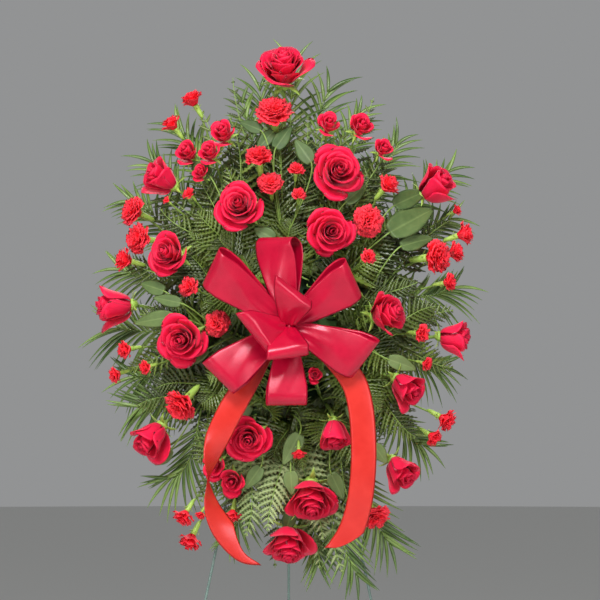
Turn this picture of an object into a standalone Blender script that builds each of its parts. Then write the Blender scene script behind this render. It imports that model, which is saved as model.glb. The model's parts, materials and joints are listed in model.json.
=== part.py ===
"""Standing funeral spray: red roses, carnations and greenery round a bow, on a folding wire easel.

The front legs lean back in one plane, and the spray is built in that plane's own frame: x to the right,
u up along the plane, f forward out of it. Places of blooms are given as they are seen from the front,
x and z from the bow's knot, with the depth worked out from the spray's domed outline. Metres throughout,
+Z up, feet on z = 0.
"""

import math

import bmesh
import bpy
import numpy as np
from mathutils import Matrix, Vector

# Easel
WIRE_R = 0.0021
APEX_Z = 1.18
MIDDLE_X = 0.0078
FRONT_FEET_Y = -0.2179
LEAN_Y = 0.20
BACK_FOOT_Y = 0.3321
FEET_HALF = 0.25
HINGE_HALF = 0.030
EYE_R = 0.0044
EYE_WIRE_R = 0.0018
WIRE_SIDES = 8

# Spray frame and dome
CENTRE_Z = 0.963
KNOT_Z = 1.002
DOME_HALF_W = 0.285
DOME_HALF_H = 0.400
DOME_MID_Z = 0.035
DOME_BASE_F = 0.035
DOME_RISE = 0.160

# Foam and its cage
FOAM_HALF = (0.052, 0.107)
FOAM_F = (0.0057, 0.088)
CAGE_WALL = 0.0050
CAGE_F = (0.0024, 0.0054)
CAGE_RIM_F = 0.030
STRAP_U = (0.034, -0.045)
STRAP_HALF = 0.002
STRAP_THICK = 0.003
FLANGE_U = 0.130
FLANGE_HALF = 0.044
SLOT_X = 0.030
SLOT_U = 0.122
SLOT_HALF = 0.002
HOOK_X = 0.038
GAP = 0.0003
FLAT_WITHIN = math.radians(1)

# Stems
HUB_R = 0.0045
HUB_F = 0.052
HUB_SHARE = 0.72
TRUNK_F = (0.098, 0.110)
TRUNK_REACH = 0.150
BRANCH_SHARE = 0.5
AXIS_CLEAR = 0.00275
LEAF_THICK = 0.0010
SECTOR_MARGIN = 0.0020

# Sector edges round the spray, degrees from +x, each sector one leafy bunch
SECTORS = [
    ("top", 82, 104),
    ("upper_left", 104, 135),
    ("left_up", 135, 158),
    ("left", 158, 195),
    ("left_low", 195, 232),
    ("low_left", 232, 262),
    ("bottom", 262, 282),
    ("low_right", 282, 317),
    ("right_low", 317, 345),
    ("right", 345, 375),
    ("right_up", 375, 400),
    ("up_right", 400, 420),
    ("top_right", 420, 442),
]

# Large roses: name, x, z in mm from the knot, diameter mm, yaw and pitch of the face, extra depth mm
ROSES = [
    ("top", -8, 399, 88, -3, 50, 0),
    ("upper_left", -192, 225, 62, -60, 30, 0),
    ("upper_mid_left", -74, 182, 78, -10, 15, 4),
    ("upper_right", 76, 234, 85, 10, 12, 4),
    ("mid_right", 64, 142, 75, 10, 0, 0),
    ("right_high", 222, 214, 62, 60, 35, 0),
    ("left_high", -180, 110, 64, -35, 10, 8),
    ("left", -262, 32, 64, -80, 0, 0),
    ("left_mid", -158, -20, 78, -15, -5, 6),
    ("right_mid", 150, 20, 60, 60, 20, 0),
    ("right", 250, -16, 54, 80, 0, 0),
    ("right_low", 178, -90, 58, 55, -30, 0),
    ("left_low", -206, -168, 66, -50, -40, 0),
    ("low_left", -58, -168, 70, -5, -10, 0),
    ("low_right", 70, -160, 52, 15, -65, 0),
    ("lower_right", 170, -216, 58, 50, -40, 0),
    ("low_front", 36, -260, 80, 5, -50, 0),
    ("bottom", 2, -330, 78, 0, -60, 0),
]
FULL_ROSES = {"top", "upper_mid_left", "upper_right", "mid_right", "left_mid", "low_left"}

# Standard carnations, the same columns
CARNATIONS = [
    ("top", -22, 324, 64, -5, 50, 0),
    ("left_high", -236, 174, 44, -60, 20, 0),
    ("left_upper", -226, 132, 45, -60, 5, -12),
    ("mid_right", 120, 158, 54, 15, 10, -8),
    ("right", 224, 104, 60, 62, 5, -6),
    ("mid_left", -106, 3, 44, -15, 0, -16),
    ("left_low", -160, -118, 58, -50, -40, 0),
    ("low_right", 130, -286, 50, 30, -50, -4),
    ("upper_mid", -45, 255, 47, -15, 60, 0),
    ("centre_high", -27, 214, 44, -5, 45, -18),
]

# Small blooms fused into their sector's bunch: x, z, diameter in mm, extra depth mm
SPRAY_ROSES = [
    (-98, 292, 50, 0),
    (-152, 263, 46, 0),
    (-118, 262, 36, 8),
    (-134, 230, 26, 0),
    (62, 305, 45, -4),
    (110, 302, 48, 0),
    (144, 268, 38, 0),
    (-114, -208, 38, -20),
    (-86, -230, 36, -20),
    (40, -72, 18, -6),
]
MINI_CARNATIONS = [
    (12, 236, 30, -8),
    (16, 198, 22, -10),
    (-149, 58, 38, -6),
    (-147, 346, 42, 0),
    (-178, 308, 38, 0),
    (-150, 200, 24, -4),
    (-184, 190, 15, 0),
    (150, 214, 34, 0),
    (257, 176, 16, 0),
    (268, 142, 36, 6),
    (264, 112, 38, -12),
    (243, 66, 34, 0),
    (120, 104, 24, -8),
    (-252, 98, 34, -4),
    (-246, -36, 36, 4),
    (-262, -74, 32, 0),
    (-214, -62, 28, 8),
    (-164, -288, 30, 0),
    (-153, -328, 34, 0),
    (-132, -284, 14, 6),
    (14, -204, 20, -10),
    (238, -142, 36, 0),
    (214, -170, 26, 0),
    (204, -22, 30, -6),
    (212, -50, 18, 0),
    (-88, -276, 24, -24),
]

# Palm fronds: tip x, z mm, depth of the tip, half width mm, side lean of the arc mm
PALMS = [
    (8, 430, 0.020, 62, 10),
    (122, 352, 0.040, 46, 20),
    (-80, 374, 0.035, 40, -14),
    (-190, 328, 0.040, 52, -14),
    (-268, 206, 0.040, 48, -10),
    (-288, -4, 0.030, 60, 8),
    (-286, -146, 0.050, 60, 14),
    (-222, -286, 0.060, 52, 14),
    (276, 256, 0.040, 46, 12),
    (278, 62, 0.040, 52, -6),
    (238, -198, 0.050, 44, -10),
    (172, -356, 0.060, 48, -12),
    (116, -404, 0.070, 42, -6),
]

# Fern fronds: tip x, z mm, depth of the tip under the dome mm, half width mm
FERNS = [
    (30, 320, 24, 30),
    (-150, 140, 26, 34),
    (-120, 60, 24, 32),
    (-210, 20, 24, 34),
    (-120, -78, 26, 38),
    (-100, -262, 22, 36),
    (-20, -388, 0, 38),
    (22, -214, 24, 26),
    (112, -212, 24, 36),
    (140, -126, 24, 36),
    (112, -34, 26, 34),
    (196, 66, 24, 30),
    (120, 214, 28, 30),
    (70, -356, 16, 34),
]

# Salal leaves: base x, z and tip x, z in mm, width mm, depth under the dome mm
LEAVES = [
    (-40, 296, -76, 312, 20, 6),
    (-22, 296, -48, 266, 22, 14),
    (36, 246, 10, 284, 26, 10),
    (152, 140, 226, 182, 44, 12),
    (-160, 34, -206, 44, 20, 2),
    (-172, 14, -238, 4, 26, 0),
    (18, -160, -8, -208, 28, 6),
    (4, -216, 6, -254, 24, 6),
    (8, -272, -6, -316, 22, 14),
]

# Bow and banner
KNOT_F = 0.250
KNOT_HALF = (0.013, 0.012, 0.0227)
RIBBON_W = 0.070
RIBBON_THICK = 0.0012
RIBBON_SPREAD = 0.42
OUTER_LOOPS = [(97, 128), (142, 138), (218, 130), (270, 118), (334, 132), (36, 128)]
INNER_LOOPS = [(110, 72), (165, 76), (272, 52)]
# Depth of a loop, how far its middle lies in front of the knot's, and where it leaves the knot
OUTER_SHAPE = (0.034, -0.002, 0.010)
INNER_SHAPE = (0.016, 0.019, 0.006)
PICK_R = 0.002
PICK_HEAD_R = 0.008
PICK_F = (0.050, 0.2252)
BANNER_W = 0.038
BANNER_THICK = 0.0010
# Tail stations: x, z mm, depth m, half width share, twist degrees. The left tail twists once
LEFT_TAIL = [
    (-54, -350, 0.150, 0.35, -10),
    (-70, -331, 0.158, 0.9, -15),
    (-90, -308, 0.168, 1.0, -25),
    (-106, -284, 0.178, 1.0, -50),
    (-116, -258, 0.186, 1.0, -70),
    (-118, -228, 0.194, 0.9, -86),
    (-117, -212, 0.199, 0.95, -72),
    (-114, -196, 0.204, 1.0, -55),
    (-109, -178, 0.208, 1.0, -37),
    (-102, -160, 0.212, 1.0, -20),
    (-80, -116, 0.218, 1.0, 0),
    (-50, -68, 0.222, 0.8, 0),
    (-20, -22, 0.2264, 0.35, 0),
    (-4.4, -5, 0.2264, 0.25, 0),
]
RIGHT_TAIL = [
    (3.8, -2, 0.2264, 0.25, 0),
    (24, -16, 0.2264, 0.35, 0),
    (64, -44, 0.222, 0.8, 0),
    (96, -80, 0.218, 1.0, 0),
    (108, -120, 0.214, 1.0, 0),
    (112, -166, 0.208, 1.0, 0),
    (111, -216, 0.200, 0.96, 0),
    (106, -262, 0.188, 0.9, 0),
    (99, -298, 0.172, 0.9, 0),
    (91, -322, 0.162, 0.5, 0),
]

MATERIALS = {
    "wire": ((0.12, 0.20, 0.19), 0.45, 0.0),
    "cage": ((0.05, 0.16, 0.07), 0.50, 0.0),
    "foam": ((0.05, 0.14, 0.06), 0.95, 0.0),
    "wood": ((0.45, 0.30, 0.17), 0.70, 0.0),
    "rose": ((0.45, 0.005, 0.025), 0.60, 0.0),
    "carnation": ((0.60, 0.02, 0.03), 0.65, 0.0),
    "green": ((0.05, 0.16, 0.04), 0.55, 0.0),
    "bow": ((0.50, 0.01, 0.05), 0.32, 0.0),
    "banner": ((0.85, 0.07, 0.05), 0.35, 0.0),
}

LEAN = math.atan2(LEAN_Y, APEX_Z)
UP = np.array([0.0, math.sin(LEAN), math.cos(LEAN)])
FORWARD = np.array([0.0, -math.cos(LEAN), math.sin(LEAN)])
RIGHT = np.array([1.0, 0.0, 0.0])
CENTRE = np.array([MIDDLE_X, FRONT_FEET_Y + LEAN_Y * CENTRE_Z / APEX_Z, CENTRE_Z])


def spray_point(x, u, f):
    """A point of the spray's own frame in the world."""
    return CENTRE + RIGHT * x + UP * u + FORWARD * f


def seen_point(x, z, f):
    """The world point at depth f that is seen x, z from the knot (metres)."""
    u = (z + KNOT_Z - CENTRE_Z - f * math.sin(LEAN)) / math.cos(LEAN)
    return spray_point(x, u, f)


def in_spray(point):
    """x, u, f of a world point."""
    d = np.asarray(point) - CENTRE
    return d @ RIGHT, d @ UP, d @ FORWARD


def dome_f(x, z):
    """Depth of the spray's dome at x, z from the knot: half an ellipsoid on a shallow base."""
    rest = 1 - (x / DOME_HALF_W) ** 2 - ((z - DOME_MID_Z) / DOME_HALF_H) ** 2
    return DOME_BASE_F + DOME_RISE * math.sqrt(max(rest, 0.0))


def unit(v):
    return np.asarray(v, float) / max(np.linalg.norm(v), 1e-12)


def facing(yaw, pitch):
    """Unit vector for yaw (to the viewer's right) and pitch (up), 0, 0 facing the viewer."""
    a, b = math.radians(yaw), math.radians(pitch)
    return np.array([math.sin(a) * math.cos(b), -math.cos(a) * math.cos(b), math.sin(b)])


def dome_normal(x, z):
    """Outward direction of the dome at x, z from the knot."""
    f = dome_f(x, z) - DOME_BASE_F
    n = RIGHT * (x / DOME_HALF_W**2) + UP * ((z - DOME_MID_Z) / DOME_HALF_H**2)
    return unit(n + FORWARD * (max(f, 0.02) / DOME_RISE**2))


def basis(direction):
    """Rotation whose third column is the direction and whose second points up as far as it can."""
    d = unit(direction)
    side = np.cross([0, 0, 1.0], d)
    side = unit(side) if np.linalg.norm(side) > 1e-3 else RIGHT
    return np.column_stack([side, np.cross(d, side), d])


def clear_scene():
    for item in list(bpy.data.objects):
        bpy.data.objects.remove(item, do_unlink=True)


def material(name):
    found = bpy.data.materials.get(name)
    if found:
        return found
    colour, roughness, metallic = MATERIALS[name]
    made = bpy.data.materials.new(name)
    made.use_nodes = True
    shader = made.node_tree.nodes["Principled BSDF"]
    shader.inputs["Base Color"].default_value = (*colour, 1.0)
    shader.inputs["Roughness"].default_value = roughness
    shader.inputs["Metallic"].default_value = metallic
    return made


def add_object(name, solid, look=None, rotation=None, place=None):
    """An object from (points, triangles), in the scene's collection."""
    points, triangles = solid
    mesh = bpy.data.meshes.new(name)
    mesh.from_pydata([tuple(p) for p in points], [], [tuple(map(int, t)) for t in triangles])
    mesh.validate()
    made = bpy.data.objects.new(name, mesh)
    bpy.context.scene.collection.objects.link(made)
    if look:
        mesh.materials.append(material(look))
    if rotation is not None:
        made.rotation_mode = "QUATERNION"
        made.rotation_quaternion = Matrix(rotation.tolist()).to_quaternion()
        made.location = Vector(place)
    return made


def turned_out(solid):
    """The same solid with its faces pointing out."""
    points, triangles = np.asarray(solid[0], float), np.asarray(solid[1], int)
    a, b, c = (points[triangles[:, k]] for k in range(3))
    if np.einsum("ij,ij->i", a, np.cross(b, c)).sum() < 0:
        triangles = triangles[:, ::-1]
    return points, triangles


def loft(rings, tip=None):
    """Closed solid through equal rings, with a flat cap at the start and a cap or tip at the end."""
    rings = np.asarray(rings, float)
    rows, sides = rings.shape[:2]
    points = [p for ring in rings for p in ring]
    faces = []
    for r in range(rows - 1):
        for j in range(sides):
            k = (j + 1) % sides
            a, b = r * sides + j, r * sides + k
            faces += [(a, b, b + sides), (a, b + sides, a + sides)]
    faces += [(0, j + 1, j) for j in range(1, sides - 1)]
    last = (rows - 1) * sides
    if tip is None:
        faces += [(last, last + j, last + j + 1) for j in range(1, sides - 1)]
    else:
        points.append(np.asarray(tip, float))
        faces += [(last + j, last + (j + 1) % sides, len(points) - 1) for j in range(sides)]
    return turned_out((points, faces))


def grown(stalk, rows, tip=None):
    """A thin stalk and a head's rows in one closed solid. The stalk's few sides fan out to the many."""
    points, faces = [p for ring in stalk for p in ring], []
    sides = len(stalk[0])
    for r in range(len(stalk) - 1):
        for j in range(sides):
            a, b = r * sides + j, r * sides + (j + 1) % sides
            faces += [(a, b, b + sides), (a, b + sides, a + sides)]
    faces += [(0, j + 1, j) for j in range(1, sides - 1)]
    low, high, many = (len(stalk) - 1) * sides, len(points), len(rows[0])
    points += [p for ring in rows for p in ring]
    i = j = 0
    while i < sides or j < many:
        a, b = low + i % sides, high + j % many
        if j >= many or (i < sides and (i + 1) / sides <= (j + 1) / many):
            faces.append((a, low + (i + 1) % sides, b))
            i += 1
        else:
            faces.append((a, high + (j + 1) % many, b))
            j += 1
    for r in range(len(rows) - 1):
        for j in range(many):
            a, b = high + r * many + j, high + r * many + (j + 1) % many
            faces += [(a, b, b + many), (a, b + many, a + many)]
    last = high + (len(rows) - 1) * many
    if tip is None:
        faces += [(last, last + j, last + j + 1) for j in range(1, many - 1)]
    else:
        points.append(np.asarray(tip, float))
        faces += [(last + j, last + (j + 1) % many, len(points) - 1) for j in range(many)]
    return turned_out((points, faces))


def bezier(p0, p1, p2, p3, steps):
    t = np.linspace(0, 1, steps + 1)[:, None]
    p0, p1, p2, p3 = map(np.asarray, (p0, p1, p2, p3))
    return (1 - t) ** 3 * p0 + 3 * t * (1 - t) ** 2 * p1 + 3 * t**2 * (1 - t) * p2 + t**3 * p3


def rings_along(path, radii, sides, side, tangents=None, phase=0.0):
    """Rings round a path, whose frame is carried along it without twist."""
    path = np.asarray(path, float)
    tangents = np.gradient(path, axis=0) if tangents is None else tangents
    turn = 2 * math.pi * np.arange(sides) / sides + phase
    rings = []
    for p, t, r in zip(path, tangents, np.broadcast_to(radii, len(path))):
        t = unit(t)
        side = unit(side - t * (side @ t))
        rings.append(p + r * (np.outer(np.cos(turn), side) + np.outer(np.sin(turn), np.cross(t, side))))
    return rings


def tube(path, radii, sides, level_ends=False):
    """Solid round a path; level ends are cut horizontally."""
    first = unit(np.subtract(path[1], path[0]))
    side = np.cross(first, UP if abs(first @ UP) < 0.9 else RIGHT)
    level = np.tile([0.0, 0.0, 1.0], (len(path), 1)) if level_ends else None
    return loft(rings_along(path, radii, sides, side, level, math.pi / sides))


def blade(middle, triangles, normals, thick):
    """Thin closed solid on both sides of a middle surface, split into the same triangles on both faces."""
    middle, normals = np.asarray(middle, float), np.asarray(normals, float)
    n = len(middle)
    points = np.vstack([middle + normals * thick / 2, middle - normals * thick / 2])
    edges = {(t[i], t[(i + 1) % 3]) for t in triangles for i in range(3)}
    faces = [tuple(t) for t in triangles] + [(t[2] + n, t[1] + n, t[0] + n) for t in triangles]
    for a, b in sorted(edges):
        if (b, a) not in edges:
            faces += [(a, a + n, b + n), (a, b + n, b)]
    return turned_out((points, faces))


def box(low, high):
    """A box in the spray's frame."""
    (x0, u0, f0), (x1, u1, f1) = low, high
    ends = [[spray_point(x, u, f) for x, u in ((x0, u0), (x1, u0), (x1, u1), (x0, u1))] for f in (f0, f1)]
    return loft(ends)


def boolean(target, operation, operand):
    """Apply one Boolean with an object or a collection, then drop the operand."""
    cut = target.modifiers.new("join", "BOOLEAN")
    cut.operation = operation
    cut.solver = "MANIFOLD"
    group = isinstance(operand, bpy.types.Collection)
    cut.operand_type = "COLLECTION" if group else "OBJECT"
    if group:
        cut.collection = operand
    else:
        cut.object = operand
    result = bpy.data.meshes.new_from_object(target.evaluated_get(bpy.context.evaluated_depsgraph_get()))
    target.modifiers.clear()
    target.data = result
    for item in list(operand.objects) if group else [operand]:
        bpy.data.objects.remove(item, do_unlink=True)
    if group:
        bpy.data.collections.remove(operand)


def collection_of(name, solids):
    """The solids as objects of a new collection."""
    group = bpy.data.collections.new(name)
    bpy.context.scene.collection.children.link(group)
    for i, item in enumerate(solids):
        made = add_object(f"{name}_{i}", item)
        bpy.context.scene.collection.objects.unlink(made)
        group.objects.link(made)
    return group


def merge_flat_faces(target):
    """Join the triangles that a union leaves on one flat face, and split the result anew."""
    work = bmesh.new()
    work.from_mesh(target.data)
    bmesh.ops.dissolve_limit(work, angle_limit=FLAT_WITHIN, verts=work.verts, edges=work.edges)
    bmesh.ops.triangulate(work, faces=work.faces)
    work.to_mesh(target.data)
    work.free()


def keep_largest(target):
    """Drop the loose scraps that a cut leaves, and keep the largest body."""
    mesh = target.data
    points = np.array([v.co for v in mesh.vertices])
    mesh.calc_loop_triangles()
    triangles = np.array([t.vertices for t in mesh.loop_triangles])
    parent = list(range(len(points)))

    def root(i):
        while parent[i] != i:
            parent[i] = parent[parent[i]]
            i = parent[i]
        return i

    for a, b, c in triangles:
        parent[root(a)] = root(b)
        parent[root(b)] = root(c)
    owner = np.array([root(t[0]) for t in triangles])
    a, b, c = (points[triangles[:, k]] for k in range(3))
    volume = np.einsum("ij,ij->i", a - points[0], np.cross(b - points[0], c - points[0])) / 6
    bodies = sorted(((volume[owner == o].sum(), o) for o in set(owner)), reverse=True)
    kept = triangles[owner == bodies[0][1]]
    used, index = np.unique(kept, return_inverse=True)
    clean = bpy.data.meshes.new(mesh.name)
    clean.from_pydata(points[used].tolist(), [], index.reshape(-1, 3).tolist())
    for m in mesh.materials:
        clean.materials.append(m)
    target.data = clean


def fused(name, solids, look):
    """One body from overlapping solids."""
    base = add_object(name, solids[0], look)
    boolean(base, "UNION", collection_of(name + "_rest", solids[1:]))
    return base


# Blooms, each in its own frame: seated at z = 0, facing +z


def ring(radius, height, columns, saw=0.0, lift=0.0, shift=0, period=3):
    """One row of a bloom. Petals are runs of columns, and each overlaps the next with a step in radius."""
    j = np.arange(columns)
    step = (j - shift) % period - (period - 1) / 2
    r = radius * (1 + saw * step)
    middle = 1 - np.abs(step) * 2 / max(period - 1, 1)
    turn = 2 * math.pi * j / columns
    return np.column_stack([r * np.cos(turn), r * np.sin(turn), height + lift * middle])


def rose_rows(size, full):
    """Rows of a rose from its seat, over the outer petals, then layer by layer to the bud."""
    r, h = size / 2, size * 0.74
    rows = [
        ring(0.13 * r, 0, 15),
        ring(0.64 * r, 0.22 * h, 15, 0.02),
        ring(1.00 * r, 0.60 * h, 15, 0.05, 0.08 * h),
        ring(0.70 * r, 0.42 * h, 15),
        ring(0.64 * r, 0.84 * h, 15, 0.10, 0.06 * h, 1),
        ring(0.44 * r, 0.62 * h, 15),
    ]
    if full:
        rows.append(ring(0.34 * r, 0.96 * h, 15, 0.14, 0.05 * h, 2))
        return rows, (0, 0, 0.80 * h)
    return rows, (0, 0, 1.0 * h)


def carnation_rows(size, columns=12):
    """Rows of a ruffled carnation: each rim zigzags against the one below it."""
    r = size / 2
    rows = [
        ring(0.16 * r, 0, columns),
        ring(0.52 * r, 0.38 * r, columns, 0.05, 0, 0, 2),
        ring(0.92 * r, 0.62 * r, columns, 0.17, 0.12 * r, 0, 2),
        ring(0.66 * r, 0.86 * r, columns, 0.22, 0.16 * r, 1, 2),
        ring(0.34 * r, 1.02 * r, columns, 0.26, 0.14 * r, 0, 2),
    ]
    return rows, (0, 0, 0.92 * r)


def mini_rows(size):
    """A mini carnation, or a plain ruffled bud where it is too small for a second ruffle."""
    r = size / 2
    rows = [ring(0.22 * r, 0, 8), ring(0.92 * r, 0.75 * r, 8, 0.30, 0.1 * r, 0, 2)]
    if size > 0.035:
        rows.append(ring(0.5 * r, 1.1 * r, 8, 0.5, 0, 1, 2))
    return rows, (0, 0, 1.05 * r)


def spray_rose_rows(size):
    r = size / 2
    rows = [
        ring(0.22 * r, 0, 9),
        ring(0.95 * r, 0.75 * r, 9, 0.08, 0.15 * r),
        ring(0.66 * r, 0.62 * r, 9),
        ring(0.50 * r, 1.20 * r, 9, 0.14, 0.08 * r, 1),
    ]
    return rows, (0, 0, 1.0 * r)


def envelope(rows, tip, columns=12, gap=0.0006):
    """A plain closed cover of a bloom, which greenery is cut back to."""
    grow = 1 / math.cos(math.pi / columns)
    turn = 2 * math.pi * np.arange(columns) / columns
    circle = np.column_stack([np.cos(turn), np.sin(turn), np.zeros(columns)])
    top = max(max(r[:, 2].max() for r in rows), tip[2]) + gap
    widest = max(rows, key=lambda r: np.hypot(r[:, 0], r[:, 1]).max())
    heights = [-GAP / 2, rows[1][:, 2].min() - gap, widest[:, 2].min() - gap, widest[:, 2].max() + gap, top]
    reach = [np.hypot(r[:, 0], r[:, 1]).max() + gap for r in (rows[0], rows[1], widest)]
    radii = [reach[0], reach[1], reach[2], reach[2], reach[2] * 0.8]
    return loft([circle * r * grow + [0, 0, z] for r, z in zip(radii, heights)])


class Bloom:
    """A bloom's place, its frame and the solids that belong to it."""

    def __init__(self, name, x, z, size, direction, deeper, shape):
        self.name, self.size = name, size * 0.001
        x, z = x * 0.001, z * 0.001
        self.direction = unit(direction)
        self.rows, self.tip = shape(self.size)
        height = self.rows[-1][:, 2].max()
        self.middle = seen_point(x, z, dome_f(x, z) + deeper * 0.001)
        self.seat = self.middle - self.direction * height / 2
        self.turn = basis(self.direction)
        sx, su, _ = in_spray(self.seat)
        self.angle = math.degrees(math.atan2(su, sx)) % 360

    def solid(self):
        return loft(self.rows, self.tip)

    def in_world(self, solid, sink=0.0):
        points, triangles = solid
        return np.asarray(points) @ self.turn.T + self.seat - self.direction * sink, triangles

    def cover(self):
        return self.in_world(envelope(self.rows, self.tip))


def large_roses():
    made = []
    for name, x, z, size, yaw, pitch, deeper in ROSES:
        full = name in FULL_ROSES
        shape = lambda s, full=full: rose_rows(s, full)
        made.append(Bloom("rose_" + name, x, z, size, facing(yaw, pitch), deeper, shape))
    return made


def standard_carnations():
    return [
        Bloom("carnation_" + name, x, z, size, facing(yaw, pitch), deeper, carnation_rows)
        for name, x, z, size, yaw, pitch, deeper in CARNATIONS
    ]


def small_blooms(table, shape):
    return [
        Bloom("", x, z, size, dome_normal(x * 0.001, z * 0.001), deeper, shape)
        for x, z, size, deeper in table
    ]


# Greenery


class Sector:
    """A slice round the spray's axis that one bunch stays inside."""

    def __init__(self, name, low, high, covers):
        self.name, self.low, self.high = name, math.radians(low), math.radians(high)
        middle = (self.low + self.high) / 2
        self.out = np.array([math.cos(middle), math.sin(middle)])
        reach = min(FOAM_HALF[0] / max(abs(self.out[0]), 1e-6), FOAM_HALF[1] / max(abs(self.out[1]), 1e-6))
        self.hub = self.out * HUB_SHARE * reach
        self.covers = covers

    def holds(self, angle):
        return (angle - math.degrees(self.low)) % 360 < math.degrees(self.high - self.low)

    def clear(self, point, margin=SECTOR_MARGIN):
        """Whether a world point is inside the slice and outside every large bloom."""
        x, u, _ = in_spray(point)
        low_side = -math.sin(self.low) * x + math.cos(self.low) * u
        high_side = math.sin(self.high) * x - math.cos(self.high) * u
        if low_side < margin or high_side < margin:
            return False
        return all(np.linalg.norm(point - c) > r for c, r in self.covers)

    def prism(self):
        """The slice itself as a solid, a hair inside its edges and clear of the axis."""
        half = (self.high - self.low) / 2
        start = self.out * AXIS_CLEAR / math.sin(half)
        far = 0.9
        rays = [np.array([math.cos(a), math.sin(a)]) for a in (self.low, self.high)]
        outline = [start, start + rays[0] * far, start + rays[1] * far]
        return loft([[spray_point(x, u, f) for x, u in outline] for f in (-0.2, 0.6)])

    def trunk_point(self, reach):
        """A point of the bunch's main stem, which leaves the foam and runs outward over its face."""
        rise = TRUNK_F[0] + (TRUNK_F[1] - TRUNK_F[0]) * reach / TRUNK_REACH
        return spray_point(*(self.out * reach), rise)

    def foot_and_trunk(self):
        near = np.linalg.norm(self.hub)
        foot = tube([spray_point(*self.hub, f) for f in (HUB_F, TRUNK_F[0] + 0.006)], HUB_R, 6)
        path = [self.trunk_point(reach) for reach in (near, (near + TRUNK_REACH) / 2, TRUNK_REACH)]
        return [foot, tube(path, [0.0038, 0.0034, 0.0026], 5)]

    def branch_start(self, target):
        """Where on the main stem a stalk to the target leaves it."""
        x, u, _ = in_spray(target)
        near = np.linalg.norm(self.hub)
        reach = near + BRANCH_SHARE * (math.hypot(x, u) - near)
        return self.trunk_point(min(max(reach, near + 0.008), TRUNK_REACH - 0.003))

    def stem_path(self, seat, direction, steps=3):
        """From the main stem outward, then up into the bloom along its axis."""
        start = self.branch_start(seat)
        span = np.linalg.norm(seat - start)
        outward = unit(seat - start)
        return bezier(start, start + outward * 0.3 * span, seat - direction * 0.35 * span, seat, steps)


def headed_stalk(sector, bloom, radii, low, rows, tip=None):
    """A three-sided stalk from the main stem, in one piece with the rows given in the bloom's own frame."""
    path = sector.stem_path(bloom.seat - bloom.direction * low, bloom.direction, len(radii) - 1)
    backward = path[::-1]
    rings = rings_along(backward, radii[::-1], 3, bloom.turn[:, 0], -np.gradient(backward, axis=0))
    world = [bloom.in_world((row, None))[0] for row in rows]
    return [grown(rings[::-1], world, None if tip is None else bloom.in_world(([tip], None))[0][0])]


def rose_stem(sector, bloom, with_sepals):
    """Stem, the bulge under the bloom and, where they show, five sepals in one star."""
    seat = ring(0.065 * bloom.size + 0.001, -GAP, 10 if with_sepals else 6)
    if not with_sepals:
        return headed_stalk(sector, bloom, [0.0026, 0.0024, 0.0026], 0.016, [ring(0.0075, -0.007, 6), seat])
    tips = ring(0.20 * bloom.size, 0, 10, 0.62, 0, 0, 2)
    tips[:, 2] = np.where(np.arange(10) % 2, 0.006, -0.0024)
    bulge = ring(0.0070, -0.007, 10)
    return headed_stalk(sector, bloom, [0.0026, 0.0024, 0.0026], 0.016, [bulge, tips, seat])


def carnation_stem(sector, bloom):
    """Thin stem and the swollen calyx that the ruffled petals burst from."""
    rows = [ring(0.0068, -0.014, 6), ring(0.08 * bloom.size + 0.001, -GAP, 6)]
    return headed_stalk(sector, bloom, [0.0018, 0.0018, 0.0022], 0.024, rows)


def small_bloom(sector, bloom, calyx):
    """A small bloom in one piece with its stalk, whose top swells into the calyx."""
    long = 0.014 if calyx > 0.004 else 0.008
    rows = [ring(calyx, -long * 0.5, len(bloom.rows[0])), *bloom.rows]
    return headed_stalk(sector, bloom, [0.0018, 0.0016, 0.0018], long, rows, bloom.tip)


def shortened(sector, start, end, floor=0.25):
    """The leaflet's tip drawn in until it is clear of the neighbours."""
    for share in (1, 0.88, 0.76, 0.64, 0.52, 0.4, floor):
        tip = start + (end - start) * share
        if sector.clear(tip) and sector.clear(start + (tip - start) * 0.6):
            return tip
    return start + (end - start) * floor


def frond(sector, tip, half_width, pairs, bare, sweep, shape, lean=0.0, droop=0.25):
    """A bare stalk and a feathered blade: leaflets cut to the rib in one thin arched outline."""
    start = sector.branch_start(tip)
    span = np.linalg.norm(tip - start)
    outward = RIGHT * sector.out[0] + UP * sector.out[1]
    sideways = np.cross(FORWARD, outward) * lean
    leave = unit(tip - start) * 0.35 * span + FORWARD * 0.012
    path = bezier(start, start + leave, tip - outward * 0.3 * span + sideways, tip, 24)
    at = np.concatenate([[0, 12 * bare], np.linspace(24 * bare, 24, pairs + 1)])
    rib = np.column_stack([np.interp(at, range(25), path[:, k]) for k in range(3)])
    tangent = np.array([unit(t) for t in np.gradient(rib, axis=0)])
    face = unit(FORWARD + outward * 0.4)
    side = np.array([unit(np.cross(t, face)) for t in tangent])
    normal = np.cross(side, tangent)
    half_rib = np.linspace(0.0018, 0.0007, len(at))[:, None]
    left, right = rib - side * half_rib, rib + side * half_rib
    points, normals, triangles = [*left, *right], [*normal, *normal], []
    n = len(at)
    for i in range(n - 1):
        triangles += [(i, n + i, n + i + 1), (i, n + i + 1, i + 1)]
    for i in range(2, n - 1):
        length = half_width * shape((i - 1.5) / pairs)
        along = unit(tangent[i] + tangent[i + 1]) * math.cos(math.radians(sweep))
        for edge, sign in ((left, -1), (right, 1)):
            root = (edge[i] + edge[i + 1]) / 2
            reach = along + side[i] * sign * math.sin(math.radians(sweep)) - normal[i] * droop
            points.append(shortened(sector, root, root + unit(reach) * length))
            normals.append(normal[i])
            k = len(points) - 1
            triangles.append((i, i + 1, k) if sign < 0 else (n + i, k, n + i + 1))
    points.append(shortened(sector, rib[-1], rib[-1] + tangent[-1] * half_width * 0.35))
    normals.append(normal[-1])
    triangles.append((n - 1, 2 * n - 1, len(points) - 1))
    return [blade(points, triangles, normals, LEAF_THICK)]


def palm_shape(v):
    return 0.62 + 0.55 * math.sin(math.pi * (0.15 + 0.7 * v))


def fern_shape(v):
    return 1.15 - 0.95 * v


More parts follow.
